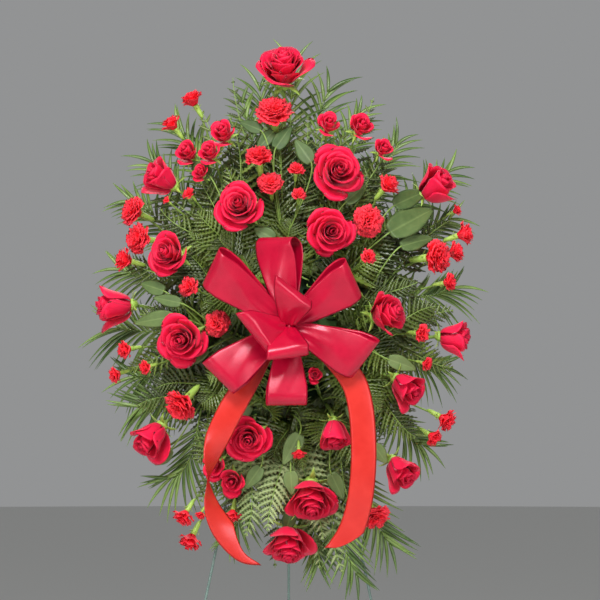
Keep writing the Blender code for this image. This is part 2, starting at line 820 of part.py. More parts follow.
def broad_leaf(sector, base, tip, width):
    """A broad pointed leaf, folded along its midrib, on a flat stalk from the main stem."""
    base, tip = np.asarray(base), np.asarray(tip)
    along = unit(tip - base)
    face = unit(FORWARD - along * (FORWARD @ along))
    side = np.cross(along, face)
    mid = [base + (tip - base) * v + face * 0.004 * math.sin(math.pi * v) for v in (0.25, 0.55, 0.8, 1)]
    spread = [0.74, 1.0, 0.6]
    wings = [[m + side * s * k * width / 2 + face * 0.003 for m, k in zip(mid, spread)] for s in (-1, 1)]
    stalk = sector.stem_path(base, along, 2)
    strip = [[p + side * s * 0.0014 for p in stalk] for s in (-1, 1)]
    points = [*strip[0], *strip[1], *mid, *wings[0], *wings[1]]
    triangles = [(0, 3, 4), (0, 4, 1), (1, 4, 5), (1, 5, 2), (2, 5, 6)]
    triangles += [(2, 6, 10), (6, 7, 11), (6, 11, 10), (7, 8, 12), (7, 12, 11), (8, 9, 12)]
    triangles += [(5, 13, 6), (6, 14, 7), (6, 13, 14), (7, 15, 8), (7, 14, 15), (8, 15, 9)]
    return [blade(points, triangles, [face] * len(points), LEAF_THICK)]


def bunch(sector, roses, carnations, sprays, minis, covers):
    """Everything green in a slice, with its small blooms, fused on one foot that stands in the foam."""
    parts = sector.foot_and_trunk()
    held = lambda bloom: sector.holds(bloom.angle)
    for bloom in filter(held, roses):
        sideways = bloom.direction @ np.array([0, -1, 0]) < 0.8
        parts += rose_stem(sector, bloom, sideways)
    for bloom in filter(held, carnations):
        parts += carnation_stem(sector, bloom)
    for bloom in filter(held, sprays):
        parts += small_bloom(sector, bloom, 0.0032)
    for bloom in filter(held, minis):
        parts += small_bloom(sector, bloom, 0.0050)
    for x, z, f, half, lean in PALMS:
        tip = seen_point(x * 0.001, z * 0.001, f)
        if sector.holds(angle_of(tip)):
            parts += frond(sector, tip, half * 0.001, 6, 0.34, 42, palm_shape, lean * 0.001)
    for x, z, under, half in FERNS:
        x, z = x * 0.001, z * 0.001
        tip = seen_point(x, z, dome_f(x, z) - under * 0.001)
        if sector.holds(angle_of(tip)):
            parts += frond(sector, tip, half * 0.001, 5, 0.3, 66, fern_shape, 0.0, 0.12)
    for x0, z0, x1, z1, width, under in LEAVES:
        base, tip = (
            seen_point(x * 0.001, z * 0.001, dome_f(x * 0.001, z * 0.001) - under * 0.001)
            for x, z in ((x0, z0), (x1, z1))
        )
        if sector.holds(angle_of((base + tip) / 2)):
            parts += broad_leaf(sector, base, tip, width * 0.001)
    made = fused("greenery_" + sector.name, parts, "green")
    boolean(made, "INTERSECT", add_object("slice", sector.prism()))
    boolean(made, "DIFFERENCE", collection_of("covers", covers))
    keep_largest(made)
    merge_flat_faces(made)


def angle_of(point):
    x, u, _ = in_spray(point)
    return math.degrees(math.atan2(u, x)) % 360


# Foam, cage and easel


def foam(sectors):
    (hx, hu), (f0, f1) = FOAM_HALF, FOAM_F
    edge = 0.006
    outline = [(-hx + edge, -hu), (hx - edge, -hu), (hx, -hu + edge), (hx, hu - edge)]
    outline += [(hx - edge, hu), (-hx + edge, hu), (-hx, hu - edge), (-hx, -hu + edge)]
    ends = [[spray_point(x, u, f) for x, u in outline] for f in (f0, f1)]
    brick = add_object("floral_foam", loft(ends), "foam")
    bottom = HUB_F - GAP
    above = f1 + 0.01
    holes = [tube([spray_point(*s.hub, f) for f in (bottom, above)], HUB_R + 1.5 * GAP, 6) for s in sectors]
    holes.append(tube([spray_point(0, 0, f) for f in (PICK_F[0] - GAP, above)], PICK_R + GAP, 8))
    boolean(brick, "DIFFERENCE", collection_of("holes", holes))
    merge_flat_faces(brick)


def foam_cage():
    """Shallow tray behind the foam, a slotted flange above it and two straps over the foam."""
    (hx, hu), w = FOAM_HALF, CAGE_WALL
    inner = 0.0004
    strap_f = FOAM_F[1] + GAP
    sides = hx + inner
    outer = box((-hx - w, -hu - w, CAGE_F[0]), (hx + w, hu + w, CAGE_RIM_F))
    tray = add_object("foam_cage", outer, "cage")
    pocket = box((-sides, -hu - inner, CAGE_F[1]), (sides, hu + inner, 0.2))
    boolean(tray, "DIFFERENCE", add_object("pocket", pocket))
    extra = [box((-FLANGE_HALF, hu, CAGE_F[0]), (FLANGE_HALF, FLANGE_U, CAGE_F[1]))]
    for u in STRAP_U:
        low, high = u - STRAP_HALF, u + STRAP_HALF
        wide = sides + STRAP_THICK
        extra.append(box((-wide, low, strap_f), (wide, high, strap_f + STRAP_THICK)))
        for s in (-1, 1):
            x = sorted((s * sides, s * wide))
            extra.append(box((x[0], low, 0.020), (x[1], high, strap_f + 0.001)))
    boolean(tray, "UNION", collection_of("straps", extra))
    slots = []
    for x in (-SLOT_X, SLOT_X):
        slots.append(box((x - SLOT_HALF, SLOT_U - SLOT_HALF, 0), (x + SLOT_HALF, SLOT_U + SLOT_HALF, 0.02)))
    boolean(tray, "DIFFERENCE", collection_of("slots", slots))
    merge_flat_faces(tray)


def tie_wire():
    """A closed loop behind both legs and through the flange's two slots."""
    back, front, x = -0.0036, CAGE_F[1] + 0.0013, SLOT_X
    corner = 0.0012
    loop = [(-x, back + corner), (-x, front - corner), (-x + corner, front), (x - corner, front)]
    loop += [(x, front - corner), (x, back + corner), (x - corner, back), (-x + corner, back)]
    path = np.array([spray_point(px, SLOT_U, f) for px, f in loop])
    ahead, behind = np.roll(path, -1, axis=0), np.roll(path, 1, axis=0)
    rings = []
    for p, a, b in zip(path, ahead, behind):
        out = unit(np.cross(unit(a - b), UP))
        turn = 2 * math.pi * np.arange(6) / 6
        rings.append(p + 0.0008 * (np.outer(np.cos(turn), out) + np.outer(np.sin(turn), UP)))
    points = [p for r in rings for p in r]
    faces = []
    for i in range(8):
        for j in range(6):
            a, b = i * 6 + j, i * 6 + (j + 1) % 6
            c, d = ((i + 1) % 8) * 6 + (j + 1) % 6, ((i + 1) % 8) * 6 + j
            faces += [(a, b, c), (a, c, d)]
    add_object("tie_wire", turned_out((points, faces)), "wire")


def leg_x(z):
    return FEET_HALF * (APEX_Z - z) / APEX_Z


def easel():
    apex_y = FRONT_FEET_Y + LEAN_Y
    top = APEX_Z - WIRE_R * math.cos(math.pi / WIRE_SIDES) - GAP
    for name, s in (("left", -1), ("right", 1)):
        shoulder_z = APEX_Z - 0.060
        foot = (MIDDLE_X + s * FEET_HALF, FRONT_FEET_Y, 0)
        shoulder = (MIDDLE_X + s * leg_x(shoulder_z), FRONT_FEET_Y + LEAN_Y * shoulder_z / APEX_Z, shoulder_z)
        head = (MIDDLE_X + s * 0.017, FRONT_FEET_Y + LEAN_Y * top / APEX_Z, top)
        path = [foot, shoulder, head]
        add_object(f"front_leg_{name}", tube(path, WIRE_R, WIRE_SIDES, level_ends=True), "wire")
    bar = [(MIDDLE_X + s * HINGE_HALF, apex_y, APEX_Z) for s in (-1, 1)]
    add_object("hinge_wire", tube(bar, WIRE_R, WIRE_SIDES), "wire")
    cross_wire()
    back_leg(np.array([MIDDLE_X, apex_y, APEX_Z]))


def cross_wire():
    """Bar in front of the legs with two hooks, which the cage stands in."""
    (hu, w), f = (FOAM_HALF[1], CAGE_WALL), WIRE_R * 2 + GAP
    u = -hu - w - GAP - WIRE_R
    reach = leg_x(CENTRE_Z + u * math.cos(LEAN)) + 0.004
    bar = tube([spray_point(-reach, u, f), spray_point(reach, u, f)], WIRE_R, WIRE_SIDES)
    hooks = []
    out = CAGE_RIM_F + GAP + WIRE_R
    thin = WIRE_R * 0.98
    for x in (-HOOK_X, HOOK_X):
        hooks.append(tube([spray_point(x, u, f), spray_point(x, u, out + WIRE_R)], thin, WIRE_SIDES))
        hooks.append(tube([spray_point(x, u - 0.001, out), spray_point(x, -hu - 0.001, out)], thin, 6))
    merge_flat_faces(fused("cross_wire_with_hooks", [bar, *hooks], "wire"))


def back_leg(apex):
    """The hinged leg: an eye that turns on the hinge wire, and a straight wire down to the floor."""
    turn = 2 * math.pi * np.arange(12) / 12
    section = 2 * math.pi * np.arange(6) / 6
    points, faces = [], []
    for a in turn:
        out = np.array([0, math.cos(a), math.sin(a)])
        for b in section:
            points.append(out * (EYE_R + EYE_WIRE_R * math.cos(b)) + RIGHT * EYE_WIRE_R * math.sin(b))
    for i in range(12):
        for j in range(6):
            a, b = i * 6 + j, i * 6 + (j + 1) % 6
            c, d = ((i + 1) % 12) * 6 + (j + 1) % 6, ((i + 1) % 12) * 6 + j
            faces += [(a, b, c), (a, c, d)]
    foot = np.array([MIDDLE_X, BACK_FOOT_Y, 0]) - apex
    start = unit(foot) * (EYE_R + 0.0002)
    leg = tube([foot, start], [WIRE_R, EYE_WIRE_R * 0.95], WIRE_SIDES, level_ends=True)
    made = fused("back_leg", [leg, turned_out((points, faces))], "wire")
    made.location = apex


# Bow and banner


def ribbon(centre, across, half_widths, thick):
    """Flat ribbon along a path, with its width direction given at each station."""
    centre = np.asarray(centre, float)
    edges, normals = [[], []], []
    for p, t, w, half in zip(centre, np.gradient(centre, axis=0), across, half_widths):
        w = unit(w - unit(t) * (unit(w) @ unit(t)))
        edges[0].append(p - w * half)
        edges[1].append(p + w * half)
        normals.append(np.cross(unit(t), w))
    n = len(centre)
    triangles = [t for i in range(n - 1) for t in ((i, n + i, n + i + 1), (i, n + i + 1, i + 1))]
    return blade(edges[0] + edges[1], triangles, normals * 2, thick)


def bow_loop(angle, length, depth, rise, start):
    """A teardrop loop that leaves the knot's side at the back and comes home to it at the front."""
    out = RIGHT * math.cos(math.radians(angle)) + UP * math.sin(math.radians(angle))
    across = np.cross(out, FORWARD)
    s = np.linspace(0, 1, 8)
    reach = start + (length - start) * np.sin(math.pi * s) ** 0.8
    height = rise - depth / 2 * np.cos(math.pi * s) * (0.25 + np.sin(math.pi * s) ** 0.5)
    centre = knot_point() + np.outer(reach, out) + np.outer(height, FORWARD)
    half = np.clip(RIBBON_SPREAD * reach, 0.004, RIBBON_W / 2)
    return ribbon(centre, [across] * 8, half, RIBBON_THICK)


def knot_point():
    return seen_point(0, 0, KNOT_F)


def bow():
    x, u, f = in_spray(knot_point())
    hx, hu, hf = KNOT_HALF
    rows = [(0.6, -hf), (1.0, -0.6 * hf), (1.0, 0.6 * hf), (0.6, hf)]
    turn = 2 * math.pi * np.arange(10) / 10
    circle = np.column_stack([np.cos(turn), np.sin(turn)])
    rings = [[spray_point(x + hx * k * c, u + hu * k * s, f + df) for c, s in circle] for k, df in rows]
    knot = loft(rings)
    loops = [bow_loop(a, n * 0.001, *OUTER_SHAPE) for a, n in OUTER_LOOPS]
    loops += [bow_loop(a, n * 0.001, *INNER_SHAPE) for a, n in INNER_LOOPS]
    merge_flat_faces(fused("bow", [knot, *loops], "bow"))


def banner_tail(name, stations):
    """One tail of the banner, pinched where it sits on the pick behind the knot."""
    centre = np.array([seen_point(x * 0.001, z * 0.001, f) for x, z, f, _, _ in stations])
    across = []
    for t, (*_, twist) in zip(np.gradient(centre, axis=0), stations):
        a = math.radians(twist)
        across.append(unit(np.cross(t, FORWARD)) * math.cos(a) + FORWARD * math.sin(a))
    half = [BANNER_W / 2 * share for *_, share, _ in stations]
    add_object(name, ribbon(centre, across, half, BANNER_THICK), "banner")


def pick():
    """Wooden pick in the foam's middle hole, with a small head that the banner and the bow sit on."""
    f0, f1 = PICK_F
    steps = [(PICK_R, f0), (PICK_R, f1 - 0.002), (PICK_HEAD_R, f1 - 0.0019), (PICK_HEAD_R, f1)]
    turn = 2 * math.pi * np.arange(8) / 8 + math.pi / 8
    rings = [[spray_point(r * math.cos(a), r * math.sin(a), f) for a in turn] for r, f in steps]
    add_object("bow_pick", loft(rings), "wood")


def build():
    clear_scene()
    roses, carnations = large_roses(), standard_carnations()
    sprays = small_blooms(SPRAY_ROSES, spray_rose_rows)
    minis = small_blooms(MINI_CARNATIONS, mini_rows)
    large = roses + carnations
    covers = [bloom.cover() for bloom in large]
    spheres = [(bloom.middle, bloom.size * 0.5 + 0.002) for bloom in large]
    sectors = [Sector(*row, spheres) for row in SECTORS]
    for bloom in large:
        look = "rose" if bloom.name.startswith("rose") else "carnation"
        add_object(bloom.name, bloom.solid(), look, bloom.turn, bloom.seat)
    for sector in sectors:
        bunch(sector, roses, carnations, sprays, minis, covers)
    foam(sectors)
    foam_cage()
    tie_wire()
    easel()
    pick()
    banner_tail("banner_tail_left", LEFT_TAIL)
    banner_tail("banner_tail_right", RIGHT_TAIL)
    bow()


build()
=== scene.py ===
"""Standing funeral spray on a wire easel: roses, carnations, palm, fern and salal round a satin bow."""

import json
import math

import bpy
import numpy as np
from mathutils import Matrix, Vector

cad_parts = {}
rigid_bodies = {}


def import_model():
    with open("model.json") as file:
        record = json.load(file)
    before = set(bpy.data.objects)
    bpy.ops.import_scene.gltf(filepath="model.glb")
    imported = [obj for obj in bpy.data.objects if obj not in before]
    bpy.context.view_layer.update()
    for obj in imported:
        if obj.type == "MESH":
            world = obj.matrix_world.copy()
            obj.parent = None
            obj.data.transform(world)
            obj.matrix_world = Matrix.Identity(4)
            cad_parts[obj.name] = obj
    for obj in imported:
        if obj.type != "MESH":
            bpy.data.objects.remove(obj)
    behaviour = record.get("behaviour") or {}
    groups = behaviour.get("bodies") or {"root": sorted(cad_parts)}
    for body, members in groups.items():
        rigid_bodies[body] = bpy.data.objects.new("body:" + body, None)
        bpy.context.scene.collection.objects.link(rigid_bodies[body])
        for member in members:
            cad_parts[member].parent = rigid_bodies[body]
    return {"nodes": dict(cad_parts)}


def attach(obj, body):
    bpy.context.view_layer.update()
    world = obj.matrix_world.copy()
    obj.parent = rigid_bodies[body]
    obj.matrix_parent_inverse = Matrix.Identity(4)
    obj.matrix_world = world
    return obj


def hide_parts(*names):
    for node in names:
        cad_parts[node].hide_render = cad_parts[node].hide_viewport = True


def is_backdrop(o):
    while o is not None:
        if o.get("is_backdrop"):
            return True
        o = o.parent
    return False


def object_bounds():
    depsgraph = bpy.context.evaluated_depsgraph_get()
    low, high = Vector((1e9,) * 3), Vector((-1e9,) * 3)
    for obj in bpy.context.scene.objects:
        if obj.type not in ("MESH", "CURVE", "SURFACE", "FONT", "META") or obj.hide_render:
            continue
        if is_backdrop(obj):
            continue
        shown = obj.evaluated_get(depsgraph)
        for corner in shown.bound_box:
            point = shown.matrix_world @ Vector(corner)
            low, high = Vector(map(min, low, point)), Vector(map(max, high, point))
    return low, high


for left_over in list(bpy.data.objects):
    bpy.data.objects.remove(left_over, do_unlink=True)
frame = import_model()
cad_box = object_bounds()


# The camera stands level and square to the spray, several metres away, as the photograph was taken. Four
# large soft panels, one of them behind the spray, and a pale surround light it, over a plain pale floor.
FRAME_SIDE = 0.900
CAMERA_FAR = 6.0
FRAME_PLANE_Y = -0.22
AIM_X, AIM_Z = 0.0258, 1.041
SENSOR_MM = 36
PANELS = [  # place, side, power
    ((-0.3, -2.5, 3.2), 1.0, 105),
    ((-2.1, -2.7, 1.5), 1.0, 38),
    ((2.1, -2.9, 1.4), 1.0, 38),
    ((0.3, 2.1, 2.7), 1.4, 50),
]
PANELS_AIM = Vector((0, 0, 0.95))
SURROUND, SURROUND_STRENGTH = (0.80, 0.81, 0.82, 1), 0.36
FLOOR_R, FLOOR_SIDES = 14, 96


def placed(name, data):
    """A new object in the scene."""
    made = bpy.data.objects.new(name, data)
    bpy.context.scene.collection.objects.link(made)
    return made


camera_data = bpy.data.cameras.new("camera")
camera_data.sensor_width = SENSOR_MM
camera_data.lens = SENSOR_MM * CAMERA_FAR / FRAME_SIDE
camera = placed("camera", camera_data)
camera.location = (AIM_X, FRAME_PLANE_Y - CAMERA_FAR, AIM_Z)
camera.rotation_euler = (math.pi / 2, 0, 0)
bpy.context.scene.camera = camera
bpy.context.scene.view_settings.view_transform = "Standard"

for i, (place, side, power) in enumerate(PANELS):
    panel = bpy.data.lights.new(f"panel_{i}", "AREA")
    panel.size = side
    panel.energy = power
    lamp = placed(f"panel_{i}", panel)
    lamp.location = place
    lamp.rotation_mode = "QUATERNION"
    lamp.rotation_quaternion = (PANELS_AIM - Vector(place)).to_track_quat("-Z", "Y")

world = bpy.data.worlds.new("surround")
world.use_nodes = True
background = world.node_tree.nodes["Background"].inputs
background["Color"].default_value = SURROUND
background["Strength"].default_value = SURROUND_STRENGTH
bpy.context.scene.world = world


class Look:
    """A material being made. Its Principled shader is set by socket names, and node adds any other node."""

    def __init__(self, name, **fixed):
        self.material = bpy.data.materials.new(name)
        self.material.use_nodes = True
        self.tree = self.material.node_tree
        self.shader = self.tree.nodes["Principled BSDF"]
        self.set(**fixed)

    def node(self, kind, settings=(), sockets=(), out=0):
        """Adds a node: its settings come first, then the values or links of its sockets."""
        made = self.tree.nodes.new("ShaderNode" + kind)
        for key, value in dict(settings).items():
            setattr(made, key, value)
        for key, value in dict(sockets).items():
            self.feed(made.inputs[key], value)
        return Value(self, made.outputs[out])

    def feed(self, socket, value):
        if isinstance(value, Value):
            self.tree.links.new(value.socket, socket)
        elif isinstance(value, tuple) and len(value) == 3 and socket.type == "RGBA":
            socket.default_value = (*value, 1)
        else:
            socket.default_value = value

    def set(self, **driven):
        for key, value in driven.items():
            self.feed(self.shader.inputs[key.replace("_", " ")], value)
        return self

    def mix(self, share, a, b):
        """Colour a where share is 0 and b where it is 1."""
        return self.node("Mix", {"data_type": "RGBA"}, {0: share, 6: a, 7: b}, out=2)

    def noise(self, coordinates, scale, detail=3.0, roughness=0.55):
        sockets = {"Vector": coordinates, "Scale": scale, "Detail": detail, "Roughness": roughness}
        return self.node("TexNoise", {}, sockets)

    def bump(self, height, strength, distance):
        return self.node("Bump", {}, {"Height": height, "Strength": strength, "Distance": distance})

    def uv(self, axis):
        """How far across (0) or along (1) the surface, from 0 to 1."""
        return self.node("SeparateXYZ", {}, {0: self.node("UVMap")}, out=axis)

    def tone(self):
        return self.node("Attribute", {"attribute_name": "tone"}, out=2)

    def here(self):
        return self.node("TexCoord", out=3)


class Value:
    """One socket of a look. Arithmetic on it adds Math nodes."""

    def __init__(self, look, socket):
        self.look, self.socket = look, socket

    def math(self, operation, *values, clamp=False):
        sockets = dict(enumerate(values))
        return self.look.node("Math", {"operation": operation, "use_clamp": clamp}, sockets)

    def clamp(self):
        return self.math("ADD", self, 0.0, clamp=True)

    def sine(self):
        return self.math("SINE", self)

    def absolute(self):
        return self.math("ABSOLUTE", self)


for sign, operation in (("add", "ADD"), ("sub", "SUBTRACT"), ("mul", "MULTIPLY"), ("pow", "POWER")):
    setattr(Value, f"__{sign}__", lambda a, b, do=operation: a.math(do, a, b))
    setattr(Value, f"__r{sign}__", lambda a, b, do=operation: a.math(do, b, a))


def srgb(red, green, blue):
    """A colour given in display values 0 to 255, as the linear values that shaders take."""
    c = np.array([red, green, blue]) / 255
    return tuple(np.where(c > 0.04045, ((c + 0.055) / 1.055) ** 2.4, c / 12.92).tolist())


def unit(v):
    """Vectors along the last axis, made one long."""
    return v / np.maximum(np.linalg.norm(v, axis=-1, keepdims=True), 1e-9)


def grid_faces(a, b, index=None, wrap=False):
    """Quads over a grid of a by b points, going round its first axis if it wraps."""
    index = np.arange(a * b).reshape(a, b) if index is None else index
    if wrap:
        index = np.vstack([index, index[:1]])
    corners = [index[:-1, :-1], index[1:, :-1], index[1:, 1:], index[:-1, 1:]]
    return np.stack(corners, axis=-1).reshape(-1, 4)


def piece(name, parts, looks, nodes, body="stand"):
    """One mesh from parts, each of them points, face arrays, uv, tone and look number. It rides on a body
    and stands for CAD nodes."""
    shift, points, uvs, tones, flat, sizes, numbers = 0, [], [], [], [], [], []
    for xyz, faces, uv, tone, number in parts:
        for block in faces:
            flat.append((block + shift).ravel())
            sizes.append(np.full(len(block), block.shape[1]))
            numbers.append(np.full(len(block), number))
        points.append(xyz)
        uvs.append(uv)
        tones.append(np.broadcast_to(tone, len(xyz)))
        shift += len(xyz)
    points, flat, sizes = np.concatenate(points), np.concatenate(flat), np.concatenate(sizes)
    mesh = bpy.data.meshes.new(name)
    mesh.vertices.add(len(points))
    mesh.vertices.foreach_set("co", points.astype(np.float32).ravel())
    mesh.loops.add(len(flat))
    mesh.loops.foreach_set("vertex_index", flat.astype(np.int32))
    mesh.polygons.add(len(sizes))
    mesh.polygons.foreach_set("loop_start", (np.cumsum(sizes) - sizes).astype(np.int32))
    mesh.polygons.foreach_set("material_index", np.concatenate(numbers).astype(np.int32))
    mesh.polygons.foreach_set("use_smooth", np.ones(len(sizes), bool))
    layer = mesh.uv_layers.new(name="UVMap")
    layer.uv.foreach_set("vector", np.concatenate(uvs)[flat].astype(np.float32).ravel())
    tone = mesh.attributes.new("tone", "FLOAT", "POINT")
    tone.data.foreach_set("value", np.concatenate(tones).astype(np.float32))
    mesh.update(calc_edges=True)
    mesh.validate()
    for look in looks:
        mesh.materials.append(look.material)
    made = placed(name, mesh)
    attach(made, body)
    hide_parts(*nodes)
    return made


floor_turn = np.linspace(0, 2 * math.pi, FLOOR_SIDES, endpoint=False)
floor_ring = FLOOR_R * np.stack([np.cos(floor_turn), np.sin(floor_turn), 0 * floor_turn], axis=-1)
floor_mesh = bpy.data.meshes.new("floor")
floor_mesh.from_pydata(floor_ring.tolist(), [], [list(range(FLOOR_SIDES))])
floor = placed("floor", floor_mesh)
floor_look = Look("pale floor", Base_Color=srgb(214, 214, 211), Roughness=0.85)
floor_mesh.materials.append(floor_look.material)
floor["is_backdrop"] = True


# The easel is bent steel wire with dull green paint: two front legs, a cross wire with hooks for the cage,
# and a back leg that turns on a short hinge wire at the top by an eye bent in its end.
WIRE_R, WIRE_SIDES, LEG_STATIONS = 0.0021, 16, 60
FEET_HALF, FEET_Y, LEAN_Y, APEX_Z, MIDDLE_X = 0.25, -0.2179, 0.20, 1.18, 0.0078
SHOULDER_Z, HEAD_HALF, TOUCH = 1.12, 0.017, 0.0003
HINGE_HALF, HINGE_STATIONS = 0.030, 12
BACK_FOOT_Y = 0.3321
EYE_R, EYE_WIRE_R, EYE_STATIONS, EYE_SIDES = 0.0044, 0.0018, 41, 12
ACROSS = (1.0, 0.0, 0.0)


def mottled_look(name, scale, dark, light, grain, strength, depth, rough, rougher=0.0):
    """Two colours in soft patches, the lighter ones perhaps rougher, over a fine grain."""
    look = Look(name, Roughness=rough)
    here = look.here()
    cloud = look.noise(here, scale)
    if rougher:
        look.set(Roughness=rough + rougher * cloud)
    relief = look.bump(look.noise(here, grain), strength, depth)
    return look.set(Base_Color=look.mix(cloud, dark, light), Normal=relief)


def circle_round(along, ref, count):
    """Unit vectors square to directions, evenly round each one from its cross product with ref."""
    turn = 2 * math.pi * np.arange(count) / count
    side = unit(np.cross(along, ref))
    third = np.cross(along, side)
    return np.cos(turn)[:, None] * side[..., None, :] + np.sin(turn)[:, None] * third[..., None, :]


def tube(path, radius, sides, ref=(0.0, -1.0, 0.0), number=0):
    """A circle of the given radius, one for each station, carried along a path, with a fan over each end.
    Paths may come stacked, as [many, stations, 3]."""
    path = np.asarray(path, float)
    path = path[None] if path.ndim == 2 else path
    many, stations = path.shape[:2]
    radius = np.broadcast_to(np.asarray(radius, float), (many, stations))
    along = unit(np.gradient(path, axis=1))
    rings = path[:, :, None] + radius[..., None, None] * circle_round(along, ref, sides)
    per = stations * sides
    index = np.arange(per).reshape(stations, sides).T
    quads = grid_faces(sides, stations, index, wrap=True)
    ends = path[:, [0, -1]]
    points = np.concatenate([rings.reshape(many, -1, 3), ends], axis=1)
    ring = np.arange(sides)
    start = np.stack([np.roll(ring, -1), ring, np.full(sides, per)], axis=-1)
    stop = np.stack([ring + per - sides, np.roll(ring, -1) + per - sides, np.full(sides, per + 1)], axis=-1)
    shift = (np.arange(many) * (per + 2))[:, None, None]
    step = np.linalg.norm(np.diff(path, axis=1), axis=-1)
    length = np.concatenate([np.zeros((many, 1)), np.cumsum(step, axis=1)], axis=1)
    uv = np.stack(np.broadcast_arrays(ring / sides, length[..., None]), axis=-1).reshape(many, -1, 2)
    uv = np.concatenate([uv, np.zeros((many, 2, 2))], axis=1)
    quads, fans = quads[None] + shift, np.stack([start, stop])[:, None] + shift
    faces = [quads.reshape(-1, 4), fans.reshape(-1, 3)]
    return points.reshape(-1, 3), faces, uv.reshape(-1, 2), 0.5, number


def straight_runs(knots, stations):
    """Straight lines from knot to knot as one path, sampled evenly."""
    knots = np.array(knots, float)
    length = np.concatenate([[0], np.cumsum(np.linalg.norm(np.diff(knots, axis=0), axis=1))])
    at = np.linspace(0, length[-1], stations)
    return np.stack([np.interp(at, length, knots[:, k]) for k in range(3)], axis=-1)


wire_greens = srgb(74, 98, 92), srgb(112, 134, 126)
wire_look = mottled_look("painted wire", 60.0, *wire_greens, 900.0, 0.12, 0.0004, 0.34, 0.2)
wire_look.set(Coat_Weight=0.25, Coat_Roughness=0.3)
apex = np.array([MIDDLE_X, FEET_Y + LEAN_Y, APEX_Z])
top_z = APEX_Z - WIRE_R - TOUCH
for side_name, s in (("left", -1), ("right", 1)):
    foot = np.array([MIDDLE_X + s * FEET_HALF, FEET_Y, 0.0])
    shoulder = foot + (apex - foot) * (SHOULDER_Z / APEX_Z)
    head = (MIDDLE_X + s * HEAD_HALF, FEET_Y + LEAN_Y * top_z / APEX_Z, top_z)
    leg = tube(straight_runs([foot, shoulder, head], LEG_STATIONS), WIRE_R, WIRE_SIDES)
    leg[0][:, 2] = np.maximum(leg[0][:, 2], 0)
    piece(f"front_leg_{side_name}_wire", [leg], [wire_look], [f"front_leg_{side_name}"])

half_hinge = HINGE_HALF * np.array(ACROSS)
hinge = tube(straight_runs([apex - half_hinge, apex + half_hinge], HINGE_STATIONS), WIRE_R, WIRE_SIDES)
piece("hinge_wire_round", [hinge], [wire_look], ["hinge_wire"])

back_foot = np.array([MIDDLE_X, BACK_FOOT_Y, 0.0])
top = apex + unit(back_foot - apex) * EYE_R
leg = tube(straight_runs([back_foot, top], LEG_STATIONS), WIRE_R, WIRE_SIDES, ACROSS)
leg[0][:, 2] = np.maximum(leg[0][:, 2], 0)
turn = np.linspace(0, 2 * math.pi, EYE_STATIONS)
eye = apex + EYE_R * np.stack([0 * turn, np.cos(turn), np.sin(turn)], axis=-1)
eye_wire = tube(eye, EYE_WIRE_R, EYE_SIDES, ACROSS)
piece("back_leg_wire", [leg, eye_wire], [wire_look], ["back_leg"], "back_leg_body")


# The spray stands in a frame of its own, in the plane of the front legs: right, up along the plane, and
# forward out of it. Places of blooms and leaves are millimetres from the bow's knot as seen from the front.
CENTRE_Z, KNOT_Z = 0.963, 1.002
DOME_HALF_W, DOME_HALF_H, DOME_MID_Z, DOME_BASE, DOME_RISE = 0.285, 0.400, 0.035, 0.035, 0.160
FOAM_HALF_W, FOAM_HALF_H = 0.052, 0.107
LEAST_RISE = 0.02
MM = 0.001

lean = math.atan2(LEAN_Y, APEX_Z)
RIGHT = np.array([1.0, 0.0, 0.0])
UP = np.array([0.0, math.sin(lean), math.cos(lean)])
FORWARD = np.array([0.0, -math.cos(lean), math.sin(lean)])
CENTRE = np.array([MIDDLE_X, FEET_Y + LEAN_Y * CENTRE_Z / APEX_Z, CENTRE_Z])
greenery = [name for name in frame["nodes"] if name.startswith("greenery_")]


def spray_point(x, u, f):
    """World points from right, up and forward distances."""
    x, u, f = np.broadcast_arrays(x, u, f)
    return CENTRE + x[..., None] * RIGHT + u[..., None] * UP + f[..., None] * FORWARD


def seen_point(x, z, f):
    """World points at depth f that are seen x, z from the knot."""
    return spray_point(x, (z + KNOT_Z - CENTRE_Z - f * math.sin(lean)) / math.cos(lean), f)


def in_spray(points):
    """Right, up and forward distances of world points."""
    d = points - CENTRE
    return d @ RIGHT, d @ UP, d @ FORWARD


def dome(x, z):
    """Depth of the spray's domed outline: half an ellipsoid on a shallow base."""
    rest = 1 - (x / DOME_HALF_W) ** 2 - ((z - DOME_MID_Z) / DOME_HALF_H) ** 2
    return DOME_BASE + DOME_RISE * np.sqrt(np.maximum(rest, 0))


def facing(yaw, pitch):
    """Unit vectors for yaw to the viewer's right and pitch up, in degrees. 0, 0 faces the viewer."""
    a, b = np.radians(yaw), np.radians(pitch)
    return np.stack([np.sin(a) * np.cos(b), -np.cos(a) * np.cos(b), np.sin(b)], axis=-1)


def dome_facing(x, z):
    """The dome's outward direction at a place."""
    rise = max(dome(x, z) - DOME_BASE, LEAST_RISE) / DOME_RISE**2
    return unit(x / DOME_HALF_W**2 * RIGHT + (z - DOME_MID_Z) / DOME_HALF_H**2 * UP + rise * FORWARD)


def turned(points, direction, seat):
    """Points of a bloom's own frame, which faces +z, set on its seat along its direction."""
    side = unit(np.cross([0, 0, 1.0], direction))
    return points @ np.stack([side, np.cross(direction, side), direction]) + seat


